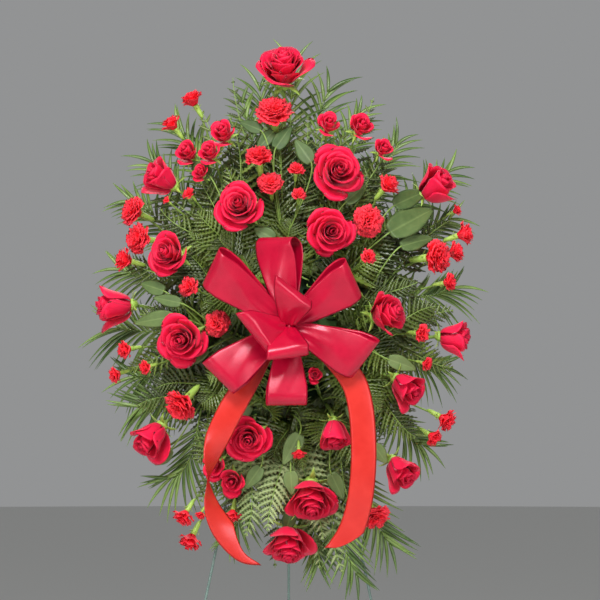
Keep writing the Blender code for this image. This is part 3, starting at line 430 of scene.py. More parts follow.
# A rose is about thirty velvet petals in a spiral round a tight bud. The outer ones open wide and roll
# their rims back, which points their tips. Each is one curved sheet, thin at its edge.
ROSES = [  # name, right, up, size, yaw, pitch, how far out of the dome, openness
    ("top", -8, 399, 88, -3, 50, 0, 1.0),
    ("upper_left", -192, 225, 62, -60, 30, 0, 0.35),
    ("upper_mid_left", -74, 182, 78, -10, 15, 4, 1.0),
    ("upper_right", 76, 234, 85, 10, 12, 4, 1.0),
    ("mid_right", 64, 142, 75, 10, 0, 0, 1.0),
    ("right_high", 222, 214, 62, 60, 35, 0, 0.2),
    ("left_high", -180, 110, 67, -32, 10, 8, 0.9),
    ("left", -262, 32, 64, -80, 0, 0, 0.15),
    ("left_mid", -158, -20, 78, -15, -5, 6, 1.0),
    ("right_mid", 150, 20, 67, 55, 15, 0, 0.9),
    ("right", 250, -16, 54, 80, 0, 0, 0.15),
    ("right_low", 178, -90, 58, 55, -30, 0, 0.3),
    ("left_low", -206, -168, 66, -50, -40, 0, 0.3),
    ("low_left", -58, -168, 70, -5, -10, 0, 1.0),
    ("low_right", 70, -160, 52, 15, -65, 0, 0.2),
    ("lower_right", 170, -216, 58, 50, -40, 0, 0.25),
    ("low_front", 36, -260, 80, 5, -50, 0, 0.8),
    ("bottom", 2, -330, 78, 0, -60, 0, 0.9),
]
GOLDEN = math.radians(137.508)
ROSE_R, OPEN_NARROWER = 0.70, 0.20
ROSE_HEIGHT, BUD_TALLER = 0.74, 0.14
PETALS_A_RING = 4.85
OPEN_PETALS, CLOSED_PETALS, OPEN_FROM = 29, 16, 0.7
PETAL_THICK = 0.0005
ROSE_SEED = 100


def shell(middle, thick, tone=0.5, number=0):
    """Closed thin leaves from middle surfaces [many, a, b, 3]: each face lies half the thickness off along
    the normal, and both share the border, so a leaf closes on itself like a lens."""
    many, a, b = middle.shape[:3]
    normal = unit(np.cross(np.gradient(middle, axis=1), np.gradient(middle, axis=2)))
    half = normal * np.reshape(thick, (-1, 1, 1, 1)) / 2
    half[:, [0, -1]] = 0
    half[:, :, [0, -1]] = 0
    inner = (middle - half)[:, 1:-1, 1:-1].reshape(many, -1, 3)
    points = np.concatenate([(middle + half).reshape(many, -1, 3), inner], axis=1)
    front = np.arange(a * b).reshape(a, b)
    back = front.copy()
    back[1:-1, 1:-1] = a * b + np.arange((a - 2) * (b - 2)).reshape(a - 2, b - 2)
    quads = np.concatenate([grid_faces(a, b, front), grid_faces(a, b, back)[:, ::-1]])
    quads = (quads[None] + (np.arange(many) * points.shape[1])[:, None, None]).reshape(-1, 4)
    u, v = np.meshgrid(np.linspace(0, 1, a), np.linspace(0, 1, b), indexing="ij")
    uv = np.stack([u, v], axis=-1)
    uv = np.concatenate([uv.reshape(-1, 2), uv[1:-1, 1:-1].reshape(-1, 2)])
    tone = np.repeat(np.broadcast_to(np.ravel(tone), many), points.shape[1])
    return points.reshape(-1, 3), [quads], np.tile(uv, (many, 1)), tone, number


def petal_grid(count, columns, rows, seed):
    """Petal numbers k, places u across and v up each petal, and two chance numbers for each."""
    chance, each = np.random.default_rng(seed), (count, 1, 1)
    u, v = np.linspace(-1, 1, columns)[None, :, None], np.linspace(0, 1, rows)[None, None, :]
    return np.arange(count)[:, None, None], u, v, chance.normal(size=each), chance.uniform(0, 6.3, each)


def rose_petals(size, count, opened, seed, columns=11, rows=10):
    """Middle surfaces of a rose's petals in its own frame. Petal k stands at k golden angles. Its rim widens
    from ring to ring and a little inside a ring, and sinks from the bud outwards. Along a petal the radius
    grows as a power of the height, so it makes a cup, and past three fifths the rim rolls out and down. The
    sides roll back more than the middle, and one side of a petal lies inside its neighbour and the other
    outside."""
    r, h = size * (ROSE_R - OPEN_NARROWER * opened), size * (ROSE_HEIGHT + BUD_TALLER * (1 - opened))
    k, u, v, vary, phase = petal_grid(count, columns, rows, seed)
    t = k / (count - 1)
    v = v * (1 - (0.06 + 0.24 * t) * np.abs(u) ** 2.6)
    ring = k / PETALS_A_RING
    level = np.floor(ring) + 0.35 * (ring % 1)
    rim = r * (0.07 + 0.80 * (level / level.max()) ** 1.45) * (1 + 0.04 * vary)
    high = h * (1.0 - (0.06 + 0.30 * opened) * t**1.7) * (1 + 0.02 * vary)
    rolled = t * (0.6 + 0.4 * opened) * np.clip((v - 0.6) / 0.4, 0, 1) ** 2
    sides = t * (0.3 + 0.7 * opened) * np.abs(u) ** 3 * v**2
    cup = 0.10 + 0.90 * v ** (0.45 + 0.30 * opened * t)
    goblet = (1 + 0.9 * (1 - t) ** 2 * (1 - v)) * (1 - 0.04 * (1 - opened) * v**3)
    radius = rim * cup * goblet + r * (0.17 * rolled + 0.12 * sides) + rim * 0.15 * u * (0.3 + 0.7 * v)
    tip = np.maximum(1 - 2.5 * np.abs(u), 0) ** 1.5
    radius = radius + r * t * v**3 * (0.05 * np.sin(2.2 * u + phase) + 0.05 * tip)
    height = high * v ** (1 + 0.55 * t) - h * (0.14 * rolled + 0.15 * sides)
    wrap = (1.9 - 0.95 * t) * (0.5 + 0.5 * v)
    angle = GOLDEN * k + 0.14 * vary + wrap * u
    return np.stack([radius * np.cos(angle), radius * np.sin(angle), height], axis=-1)


petal_sheen = {"Sheen_Weight": 0.35, "Sheen_Roughness": 0.4, "Sheen_Tint": (1.0, 0.35, 0.45)}
petal_look = Look("velvet petal", Specular_IOR_Level=0.35, **petal_sheen)
across, along = petal_look.uv(0), petal_look.uv(1)
here = petal_look.here()
cloud = petal_look.noise(here, 70.0)
veins = ((across * 90.0).sine() * 0.5 + 0.5) * along
# The petal colour is painted darker towards each petal's base and on the inner petals through the tone:
# painted shade deep in the bloom. The soft patches are the petals' own colour.
light = (along**2 * 0.55 + petal_look.tone() * 0.45 + cloud * 0.35 - 0.22).clamp()
petal_look.set(
    Base_Color=petal_look.mix(light, srgb(178, 0, 48), srgb(246, 8, 68)),
    Roughness=0.50 + 0.18 * cloud,
    Normal=petal_look.bump(veins * 0.6 + petal_look.noise(here, 1400.0) * 0.4, 0.18, 0.0004),
)


def bloom(kind, x, z, size, direction, proud, tall, petals, thick=PETAL_THICK, innermost_painted_light=0.0):
    """Petals on their seat, which lies half the bloom's height behind its place on the dome, along its
    direction. The bloom is noted in stems."""
    x, z = x * MM, z * MM
    seat = seen_point(x, z, dome(x, z) + proud * MM) - direction * (size * tall) / 2
    stems.append((kind, seat, direction, size))
    # The tone runs from the innermost petal's value up to 1 at the outermost petal: painted shade on the
    # inner petals.
    return shell(turned(petals, direction, seat), thick, np.linspace(innermost_painted_light, 1, len(petals)))


stems = []
for i, (name, x, z, size, yaw, pitch, proud, opened) in enumerate(ROSES):
    count = OPEN_PETALS if opened > OPEN_FROM else CLOSED_PETALS
    petals = rose_petals(size * MM, count, opened, ROSE_SEED + i)
    part = bloom("rose", x, z, size * MM, facing(yaw, pitch), proud, ROSE_HEIGHT, petals)
    piece(f"rose_{name}_petals", [part], [petal_look], [f"rose_{name}"])


# A carnation is a ruffled fan of many petals, saw-toothed at their rims, that bursts from a tubular green
# calyx. The sprays of small ones are the same flower with fewer petals.
CARNATIONS = [  # name, right, up, size, yaw, pitch, how far out of the dome
    ("top", -22, 324, 64, -5, 50, 0),
    ("left_high", -236, 174, 50, -60, 20, 0),
    ("left_upper", -226, 132, 51, -55, 5, -12),
    ("mid_right", 120, 158, 54, 15, 10, -8),
    ("right", 224, 104, 60, 62, 5, -6),
    ("mid_left", -106, 3, 44, -15, 0, 2),
    ("left_low", -160, -118, 58, -50, -40, 0),
    ("low_right", 130, -286, 50, 30, -50, -4),
    ("upper_mid", -45, 255, 47, -15, 60, 0),
    ("centre_high", -27, 214, 44, -5, 45, -18),
]
MINI_CARNATIONS = [  # right, up, size, how far out of the dome, how much it hangs
    (12, 236, 30, -8, 0), (16, 198, 26, -6, 0), (-149, 58, 38, -6, 0), (-147, 346, 42, 0, 0),
    (-178, 308, 38, 0, 0), (-150, 200, 24, -4, 0), (-184, 190, 15, 0, 0), (150, 212, 42, 0, 0),
    (257, 176, 22, 0, 0), (268, 140, 43, 6, 0), (254, 112, 40, -12, 0), (243, 66, 34, 0, 0),
    (120, 104, 30, -4, 0), (-248, 100, 44, -4, 0), (-246, -36, 36, 4, 0), (-262, -74, 32, 0, 0),
    (-214, -62, 28, 8, 0), (-158, -288, 40, 0, 0), (-149, -326, 44, 0, 0), (-132, -284, 20, 6, 0),
    (16, -190, 26, -2, 6), (238, -142, 42, 0, 0), (219, -168, 34, 0, 0), (200, -11, 34, -6, 0),
    (208, -57, 26, 0, 0), (-84, -284, 34, -16, 2),
]
CARNATION_PETALS, CARNATION_TALL, CARNATION_SEED = 30, 0.58, 300
MINI_PETALS, MINI_TALL, MINI_SEED = 14, 0.55, 500
RUFFLE_THICK = 0.0004
FAN_OUT, FAN_R = 1.6, 0.30


def carnation_petals(size, count, seed, columns=17, rows=7):
    """Middle surfaces of a carnation's petals. A petal rises through the calyx and bends outwards along a
    cubic curve in radius and height. Its width grows with length, its face waves more towards the rim, and
    the rim's stations go in and out by turns, which cuts the teeth."""
    r = size / 2
    k, u, v, vary, phase = petal_grid(count, columns, rows, seed)
    t = (k + 0.5) / count
    rim = r * (0.03 + 0.93 * t**0.7) * (1 + 0.03 * vary)
    high = r * (1.12 - 0.62 * t**1.7) * (1 + 0.05 * vary)
    curve = [3 * v * (1 - v) ** 2, 3 * v**2 * (1 - v), v**3]
    reach = 0.08 * r * (1 - v) ** 3 + 0.10 * r * curve[0] + 0.55 * rim * curve[1] + rim * curve[2]
    height = 0.42 * high * curve[0] + 1.02 * high * curve[1] + high * curve[2]
    width = r * (0.10 + 0.52 * v**0.9) * u
    saw = np.where(np.arange(columns) % 2 == 0, 1.0, -1.0)[None, :, None] * np.clip(v - 0.8, 0, 1) * 5
    reach = reach - 0.55 * width**2 / r * v + 0.035 * r * saw
    wave = 0.13 * r * np.sin(4.6 * u + phase) * v**2 + 0.05 * r * np.sin(9.5 * u + 2 * phase) * v**3
    height = height + wave * (0.4 + 0.6 * t)
    reach = reach + wave * (0.8 - 0.5 * t)
    angle = GOLDEN * k + 0.15 * vary
    xs = reach * np.cos(angle) - width * np.sin(angle)
    ys = reach * np.sin(angle) + width * np.cos(angle)
    return np.stack([xs, ys, height + 0 * xs], axis=-1)


ruffle_sheen = {"Sheen_Weight": 0.1, "Sheen_Roughness": 0.5, "Sheen_Tint": (1.0, 0.5, 0.5)}
ruffle_look = Look("ruffled petal", Specular_IOR_Level=0.3, **ruffle_sheen)
across, along = ruffle_look.uv(0), ruffle_look.uv(1)
cloud = ruffle_look.noise(ruffle_look.here(), 110.0)
# The petal colour is painted darker towards each petal's base and a little on the inner petals through the
# tone: painted shade deep in the flower. The soft patches are the petals' own colour.
light = (along**3 * 0.75 + ruffle_look.tone() * 0.2 + cloud * 0.35 - 0.2).clamp()
ruffle_look.set(
    Base_Color=ruffle_look.mix(light, srgb(238, 16, 44), srgb(255, 62, 80)),
    Roughness=0.58 + 0.15 * cloud,
    Normal=ruffle_look.bump((across * 70.0).sine() * along, 0.2, 0.0003),
)

for i, (name, x, z, size, yaw, pitch, proud) in enumerate(CARNATIONS):
    petals = carnation_petals(size * MM, CARNATION_PETALS, CARNATION_SEED + i)
    direction = facing(yaw, pitch)
    part = bloom("carnation", x, z, size * MM, direction, proud, CARNATION_TALL, petals, RUFFLE_THICK)
    piece(f"carnation_{name}_petals", [part], [ruffle_look], [f"carnation_{name}"])

minis = []
for i, (x, z, size, proud, hang) in enumerate(MINI_CARNATIONS):
    from_middle = x * MM * RIGHT + (z * MM - DOME_MID_Z) * UP
    outwards = unit(from_middle) * FAN_OUT * (np.linalg.norm(from_middle) / FAN_R) ** 2
    direction = unit(dome_facing(x * MM, z * MM) + outwards - np.array([0, 0, hang]))
    petals = carnation_petals(size * MM, MINI_PETALS, MINI_SEED + i, columns=11, rows=5)
    minis.append(bloom("mini", x, z, size * MM, direction, proud, MINI_TALL, petals, RUFFLE_THICK))
piece("mini_carnations", minis, [ruffle_look], greenery)


# Spray roses are small garden roses, several to a stem, at the spray's shoulders and low left. Each is made
# as a large rose is, with fewer petals, and faces straight out of the dome.
SPRAY_ROSES = [  # right, up, size, how far out of the dome
    (-98, 292, 50, 0), (-152, 263, 46, 0), (-118, 262, 43, 8), (-132, 232, 32, 0), (62, 305, 45, -4),
    (110, 302, 48, 0), (144, 268, 38, 0), (-110, -208, 46, -20), (-82, -231, 50, -16), (40, -72, 27, 18),
]
# The innermost petals of a spray rose start a fifth of the way up the painted shade, so the small blooms are
# painted less dark inside.
SPRAY_PETALS, SPRAY_OPENED, SPRAY_TALL, SPRAY_INNER_PAINTED_LIGHT, SPRAY_SEED = 16, 0.8, 0.6, 0.2, 700

sprays = []
for i, (x, z, size, proud) in enumerate(SPRAY_ROSES):
    petals = rose_petals(size * MM, SPRAY_PETALS, SPRAY_OPENED, SPRAY_SEED + i, columns=9, rows=8)
    row = x, z, size * MM, dome_facing(x * MM, z * MM), proud
    sprays.append(bloom("spray", *row, SPRAY_TALL, petals, innermost_painted_light=SPRAY_INNER_PAINTED_LIGHT))
piece("spray_roses", sprays, [petal_look], greenery)


# The greenery stands in the foam in thirteen bunches round the spray. Palm fronds make the long feathered
# edge: a thin rib with a row of narrow folded leaflets on each side that arch forward and droop.
SECTOR_EDGES = [82, 104, 135, 158, 195, 232, 262, 282, 317, 345, 375, 400, 420, 442]
HUB_SHARE, HUB_F, HUB_GAP = 0.72, 0.098, 0.008
TRUNK_REACH, TRUNK_RISE, TRUNK_END = 0.150, 0.012, 0.003
RIB_STATIONS = 61
PALMS = [  # right and up, depth in metres, half width, how far the frond leans aside
    (8, 430, 0.020, 62, 10), (122, 352, 0.040, 46, 20), (-80, 374, 0.035, 40, -14),
    (-190, 328, 0.040, 52, -14), (-268, 206, 0.040, 48, -10), (-288, -4, 0.030, 60, 8),
    (-252, -134, 0.050, 54, 14), (-200, -250, 0.060, 50, 14), (276, 256, 0.040, 46, 12),
    (278, 62, 0.040, 52, -6), (230, -196, 0.050, 44, -10), (172, -356, 0.060, 48, -12),
    (116, -404, 0.070, 42, -6),
    (70, 392, 0.030, 56, 14), (-50, 396, 0.010, 54, -6), (-232, 270, 0.050, 50, -12),
    (-284, 92, 0.040, 46, -4), (-262, -84, 0.030, 52, 10), (186, 300, 0.050, 46, 16),
    (276, 176, 0.040, 44, 6), (256, -66, 0.040, 46, -8), (50, -384, 0.055, 42, 0),
    (-96, -340, 0.055, 40, 8), (-150, 300, 0.020, 46, 10), (150, 250, 0.020, 46, -10),
]
PALM_IN_X, PALM_IN_Z = 0.90 * MM, 0.93 * MM
PALM_PAIRS, PALM_SEED = 13, 11
PALM_LONG, PALM_LEAFLET_W, PALM_FOLD = 1.2 * MM, 0.0054, 0.45
PALM_RIB = 2, 6, 0.0017, 0.0006
PALM_HABIT = {"span": (0.36, 0.985), "sweep": (40, 18), "swing": 0.07, "lift": (0.14, 0.12), "vary": 0.08}
PALM_DROOP = np.array([0, 0, -0.16])
LEAFLET_THICK = 0.0006


def trunk_start(tips):
    """Where on its bunch's main stem a frond to each tip begins, and the bunch's outward direction there."""
    x, u, _ = in_spray(tips)
    edges = np.array(SECTOR_EDGES, float)
    angle = (np.degrees(np.arctan2(u, x)) - edges[0]) % 360 + edges[0]
    index = np.clip(np.searchsorted(edges, angle, side="right") - 1, 0, len(edges) - 2)
    middle = np.radians((edges[index] + edges[index + 1]) / 2)
    out = np.stack([np.cos(middle), np.sin(middle)], axis=-1)
    near = HUB_SHARE * (np.array([FOAM_HALF_W, FOAM_HALF_H]) / np.maximum(np.abs(out), 1e-6)).min(axis=-1)
    start = np.clip(near + 0.5 * (np.hypot(x, u) - near), near + HUB_GAP, TRUNK_REACH - TRUNK_END)
    where = spray_point(out[:, 0] * start, out[:, 1] * start, HUB_F + TRUNK_RISE * start / TRUNK_REACH)
    return where, out[:, :1] * RIGHT + out[:, 1:] * UP, out * near[:, None]


def bezier(a, b, c, d, count):
    """Cubic curves through stacked control points, sampled evenly in their parameter."""
    t = np.linspace(0, 1, count)[:, None]
    weights = [(1 - t) ** 3, 3 * t * (1 - t) ** 2, 3 * t**2 * (1 - t), t**3]
    return sum(w * p[:, None] for w, p in zip(weights, (a, b, c, d)))


def frond_ribs(tips, lean_side):
    """Arched ribs from the main stems to the tips, with the sideways and facing directions along them."""
    start, out, _ = trunk_start(tips)
    span = np.linalg.norm(tips - start, axis=-1, keepdims=True)
    leave = start + unit(tips - start) * 0.35 * span + FORWARD * 0.012
    arrive = tips - out * 0.3 * span + np.cross(FORWARD, out) * lean_side[:, None]
    rib = bezier(start, leave, arrive, tips, RIB_STATIONS)
    along = unit(np.gradient(rib, axis=1))
    side = unit(np.cross(along, unit(FORWARD + out * 0.4)[:, None]))
    return rib, along, side, np.cross(side, along)


def leaflets(root, heading, face, length, width, bend, fold, columns=3, rows=8, lobes=0.0):
    """Middle surfaces of narrow leaves: a straight run along the heading that bends away with the square of
    the distance, a half width that swells early and runs to a point, and a fold that lifts both edges."""
    u = np.linspace(-1, 1, columns)[None, :, None, None]
    v = np.linspace(0, 1, rows)[None, None, :, None]
    root, heading, face, bend = (a.reshape(-1, 1, 1, 3) for a in (root, heading, face, bend))
    length, width = (np.reshape(a, (-1, 1, 1, 1)) for a in (length, width))
    centre = root + heading * length * v + bend * length * v**2
    along = unit(heading + 2 * bend * v)
    side = unit(np.cross(along, face))
    shape = 0.06 + 0.94 * np.sin(math.pi * np.clip(0.08 + 0.92 * v, 0, 1) ** 0.75)
    saw = np.where(np.arange(rows) % 2, 1.0, 1.0 - lobes)[None, None, :, None]
    half = width / 2 * shape * saw
    return centre + side * u * half + np.cross(side, along) * fold * np.abs(u) * half


def leaf_rows(ribs, pairs, half, size, chance, span, sweep, swing, lift, vary):
    """Leaflets on the left and then on the right side of ribs, at even steps of a span of their length. They
    stand off the rib by the angles of sweep, from the first to the last, and are lifted towards the face.
    swing, the second number of lift, and vary say how far each strays by chance."""
    station = (np.linspace(*span, pairs) * (RIB_STATIONS - 1)).astype(int)
    rib, along, side, normal = (a[:, station] for a in ribs)
    shape = (len(rib), pairs, 1)
    for sign in (-1, 1):
        angle = np.radians(np.linspace(*sweep, pairs))[:, None] + chance.normal(size=shape) * swing
        heading = along * np.cos(angle) + side * sign * np.sin(angle)
        heading = unit(heading + normal * (lift[0] + lift[1] * chance.normal(size=shape)))
        length = half[:, None] * size * (1 + vary * chance.normal(size=shape[:2]))
        yield rib, heading, normal, length, along, side * sign


def rib_tube(ribs, step, sides, base_r, tip_r):
    """The ribs' stalks: every step-th station, thinning evenly from base to tip."""
    rib = ribs[0][:, ::step]
    return tube(rib, np.linspace(base_r, tip_r, rib.shape[1]), sides, FORWARD, 1)


def palm_leaflets(rows, pairs, seed):
    """A palm frond's leaflets stand in two rows on the outer two thirds of its rib, swept forward."""
    x, z, f, half, lean_side = np.array(rows, float).T
    ribs = frond_ribs(seen_point(x * PALM_IN_X, z * PALM_IN_Z, f), lean_side * MM)
    chance = np.random.default_rng(seed)
    share = np.linspace(0, 1, pairs)
    size = 0.55 + 0.55 * np.sin(math.pi * (0.16 + 0.68 * share))
    parts = []
    both = leaf_rows(ribs, pairs, half * PALM_LONG, size, chance, **PALM_HABIT)
    for root, heading, face, length, _, aside in both:
        bend = aside * (0.30 - 0.12 * share)[:, None] - face * 0.20 + PALM_DROOP
        surface = leaflets(root, heading, face, length, PALM_LEAFLET_W, bend, PALM_FOLD, rows=11)
        parts.append(shell(surface, LEAFLET_THICK, chance.uniform(0, 1, length.size)))
    return [*parts, rib_tube(ribs, *PALM_RIB)]


def leaf_look(name, deep, fresh, vein_scale, gloss, rough=0.42):
    """A leaf: its green varies from leaf to leaf and in soft patches, and fine veins run along it."""
    look = Look(name, Specular_IOR_Level=gloss)
    across = look.uv(0)
    cloud = look.noise(look.here(), 55.0)
    midrib = 1 - (16 * (across - 0.5).absolute()).clamp()
    light = (look.tone() * 0.5 + cloud * 0.45 + midrib * 0.25 - 0.12).clamp()
    return look.set(
        Base_Color=look.mix(light, deep, fresh),
        Roughness=rough + 0.22 * cloud,
        Normal=look.bump((across * vein_scale).sine() * 0.5 + midrib, 0.25, 0.0004),
    )


palm_look = leaf_look("palm leaf", srgb(46, 76, 24), srgb(142, 172, 84), 40.0, 0.6, 0.24)
stem_greens = srgb(86, 116, 40), srgb(150, 180, 84)
stem_look = mottled_look("green stem", 90.0, *stem_greens, 700.0, 0.15, 0.0003, 0.5)
parts = palm_leaflets(PALMS, PALM_PAIRS, PALM_SEED)
piece("palm_fronds", parts, [palm_look, stem_look], greenery)


# Leatherleaf fern fills the spray between the flowers. Its fronds are flat and triangular, with toothed
# leaflets that get shorter towards the tip, dark above and paler at the ribs.
FERNS = [  # right, up, how far under the dome, half width
    (30, 320, 24, 30), (-150, 140, 26, 34), (-120, 60, 24, 32), (-210, 20, 24, 34), (-120, -78, 26, 38),
    (-100, -262, 22, 36), (-20, -368, 0, 38), (22, -214, 24, 26), (112, -212, 24, 36), (140, -126, 24, 36),
    (112, -34, 26, 34), (196, 66, 24, 30), (120, 214, 28, 30), (70, -356, 16, 34),
]
PALE_FERNS = [
    (-64, -316, -16, 40), (-30, -308, -14, 38), (52, -322, -20, 36), (84, -374, -46, 42), (48, -368, -40, 36),
]
FERN_RINGS = [  # share of the outline, fronds, how far under the dome
    (0.20, 8, 72), (0.34, 12, 60), (0.46, 16, 78), (0.50, 14, 42), (0.60, 15, 56),
    (0.64, 15, 30), (0.78, 16, 46), (0.82, 16, 24), (0.94, 17, 24),
]
RING_SEED, RING_STRAY, RING_NEARER, RING_DEEPER, RING_HALF = 21, 0.3, 0.08, (-6, 10), (34, 48)
RING_IN_X, RING_IN_Z = 0.95, 0.97
INNER_FERNS, MIDDLE_FERNS = 50, 96
FERN_PAIRS, FERN_SEED = 13, 22
PALE_PAIRS, PALE_SEED, PALE_BROAD = 15, 31, 0.28
FERN_LEAFLET_W, FERN_FOLD, FERN_TOOTH = 0.0035, 0.15, 0.62
FERN_RIB = 3, 5, 0.0014, 0.0005
FERN_HABIT = {"span": (0.12, 0.98), "sweep": (70, 48), "swing": 0.05, "lift": (0.05, 0.06), "vary": 0.05}


def more_ferns():
    """Ferns on rings of the dome's outline, shallow and deep ones, each a little off its even place."""
    chance = np.random.default_rng(RING_SEED)
    rows = []
    for share, count, under in FERN_RINGS:
        a = 2 * math.pi * (np.arange(count) + chance.uniform(-RING_STRAY, RING_STRAY, count)) / count
        near = share * (1 + chance.uniform(-RING_NEARER, RING_NEARER, count))
        x = near * DOME_HALF_W * RING_IN_X * np.cos(a) / MM
        z = (DOME_MID_Z + near * DOME_HALF_H * RING_IN_Z * np.sin(a)) / MM
        half = chance.uniform(*RING_HALF, count)
        rows += list(zip(x, z, under + chance.uniform(*RING_DEEPER, count), half))
    return rows


def fern_leaflets(rows, pairs, seed, broad=0.17):
    """A fern frond's leaflets stand opposite each other, nearly square to the rib, and shorten to the tip."""
    x, z, under, half = np.array(rows, float).T * MM
    ribs = frond_ribs(seen_point(x, z, dome(x, z) - under), np.zeros(len(x)))
    chance = np.random.default_rng(seed)
    size = 1.2 * (1 - np.linspace(0, 1, pairs)) ** 0.8 + 0.10
    parts = []
    for root, heading, face, length, along, _ in leaf_rows(ribs, pairs, half, size, chance, **FERN_HABIT):
        bend = along * 0.15 - face * 0.10
        leaf = root, heading, face, length, FERN_LEAFLET_W + broad * length, bend, FERN_FOLD
        tones = np.repeat(chance.uniform(0, 1, len(x)), pairs)
        parts.append(shell(leaflets(*leaf, rows=13, lobes=FERN_TOOTH), LEAFLET_THICK, tones))
    return [*parts, rib_tube(ribs, *FERN_RIB)]


fern_look = leaf_look("fern", srgb(24, 38, 8), srgb(124, 148, 54), 30.0, 0.65, 0.26)
pale_look = leaf_look("fern underside", srgb(98, 120, 66), srgb(196, 208, 150), 30.0, 0.3)
parts = fern_leaflets(PALE_FERNS, PALE_PAIRS, PALE_SEED, PALE_BROAD)
piece("fern_pale_fronds", parts, [pale_look, stem_look], greenery)
filling = more_ferns()
for name, rows in (
    ("inner", filling[:INNER_FERNS]),
    ("middle", filling[INNER_FERNS:MIDDLE_FERNS]),
    ("outer", FERNS + filling[MIDDLE_FERNS:]),
):
    parts = fern_leaflets(rows, FERN_PAIRS, FERN_SEED + len(rows))
    piece(f"fern_{name}_fronds", parts, [fern_look, stem_look], greenery)


# Salal and rose leaves are broad leathery ovals, folded a little along the midrib. The leaves in the open
# lie between the flowers, and a ring of shaded ones backs the spray behind them.
LEAVES = [  # right and up of the base, right and up of the tip, width, how far under the dome
    (-40, 296, -76, 312, 20, 6), (-22, 296, -48, 266, 22, 14), (36, 246, 10, 284, 26, 10),
    (152, 140, 226, 182, 44, 12), (-160, 34, -206, 44, 20, 2), (-172, 14, -238, 4, 26, 0),
    (18, -160, -8, -208, 28, 6), (4, -216, 6, -254, 24, 6), (8, -272, -6, -316, 22, 14),
    (160, 182, 214, 208, 30, 18), (170, 120, 224, 136, 26, 16), (-186, 52, -226, 66, 24, 8),
    (-120, -34, -168, -60, 26, 10), (-56, -118, -94, -148, 26, 14), (90, -116, 116, -160, 24, 14),
    (150, -50, 196, -66, 24, 12), (-20, 268, 6, 306, 24, 12), (-118, 226, -150, 252, 24, 10),
    (-20, 130, -52, 148, 24, 20), (86, 186, 118, 214, 24, 16), (-40, -210, -66, -246, 24, 12),
    (64, -220, 84, -262, 24, 12), (-176, -186, -206, -214, 24, 36), (128, -178, 150, -208, 22, 10),
    (-44, 22, -100, 10, 44, 86), (-44, -12, -98, -26, 44, 84), (-42, -48, -92, -76, 42, 82),
    (-42, 60, -92, 84, 42, 82), (44, 26, 102, 34, 44, 86), (44, -4, 104, -8, 46, 84),
    (44, -40, 98, -58, 44, 82), (42, 62, 90, 90, 42, 82), (-20, 84, -46, 132, 42, 84),
    (22, 86, 48, 134, 42, 84), (-24, -118, -52, -160, 42, 80), (24, -116, 50, -160, 42, 80),
]
LEAF_THICK, LEAF_FOLD, BASE_UNDER = 0.0007, 0.22, 0.004
STALK_R, STALK_SIDES, STALK_STATIONS = 0.0012, 6, 20
OPEN_LEAVES = 24
BACKING_TURN = np.radians(np.arange(20) * 18.0 + 7)
BACKING_BASE, BACKING_TIP, BACKING_W, BACKING_UNDER = 0.38, 0.66, 48, 82
BACKING_MID = DOME_MID_Z / MM

for c, d in zip(DOME_HALF_W * np.cos(BACKING_TURN) / MM, DOME_HALF_H * np.sin(BACKING_TURN) / MM):
    base = BACKING_BASE * c, BACKING_MID + BACKING_BASE * d
    tip = BACKING_TIP * c, BACKING_MID + BACKING_TIP * d
    LEAVES.append((*base, *tip, BACKING_W, BACKING_UNDER))
x0, z0, x1, z1, width, under = np.array(LEAVES, float).T * MM
bases = seen_point(x0, z0, dome(x0, z0) - under - BASE_UNDER)
tips = seen_point(x1, z1, dome(x1, z1) - under)
along = unit(tips - bases)
face = unit(FORWARD - along * (along @ FORWARD)[:, None])
length = np.linalg.norm(tips - bases, axis=-1)
surface = leaflets(bases, along, face, length, width, -face * 0.10, LEAF_FOLD, columns=9, rows=15)
starts = trunk_start(bases)[0]
stalks = bezier(starts, starts + FORWARD * 0.02, bases - along * 0.02, bases + along * 0.003, STALK_STATIONS)
salal_look = leaf_look("salal leaf", srgb(48, 74, 32), srgb(132, 152, 92), 60.0, 0.35)
shaded_look = leaf_look("shaded leaf", srgb(22, 46, 18), srgb(66, 96, 42), 60.0, 0.25)
each = np.linspace(0, 1, len(LEAVES)) * 7 % 1
leaf_parts = [
    shell(surface[:OPEN_LEAVES], LEAF_THICK, each[:OPEN_LEAVES]),
    shell(surface[OPEN_LEAVES:], LEAF_THICK, each[OPEN_LEAVES:], 2),
    tube(stalks, STALK_R, STALK_SIDES, FORWARD, 1),
]
piece("salal_leaves", leaf_parts, [salal_look, stem_look, shaded_look], greenery)


# Each bloom has its own stem, pushed into the foam. A rose sits on a round hip with five sepals, and a
# carnation's petals burst from a long calyx tube with short ones.
STEM_RADII = {"rose": 0.0026, "carnation": 0.0019, "mini": 0.0015, "spray": 0.0016}
STEM_STATIONS, STEM_SIDES, STEM_FOOT_F, STEM_STRAY, STEM_SEED = 22, 7, 0.075, 0.006, 5
CUP_STATIONS, CUP_SIDES = 9, 12
SEPALS, SEPAL_THICK, SEPAL_TONE, SEPAL_WIDE, SEPAL_FOLD = 5, 0.0006, 0.7, 0.34, 0.2
TILTED = (0.13, 0.31, 0.94)

kinds, seats, ways, sizes = (np.array(column) for column in zip(*stems))
radii = np.array([STEM_RADII[k] for k in kinds])
chance = np.random.default_rng(STEM_SEED)
_, out, hub = trunk_start(seats)
hub = hub + chance.uniform(-STEM_STRAY, STEM_STRAY, hub.shape)
feet = spray_point(hub[:, 0], hub[:, 1], STEM_FOOT_F)
span = np.linalg.norm(seats - feet, axis=-1, keepdims=True)
rise = feet + FORWARD * 0.015 + out * 0.40 * span
under = seats - unit(ways + FORWARD * 0.5) * 0.35 * span
paths = bezier(feet, rise, under, seats + ways * 0.002, STEM_STATIONS)

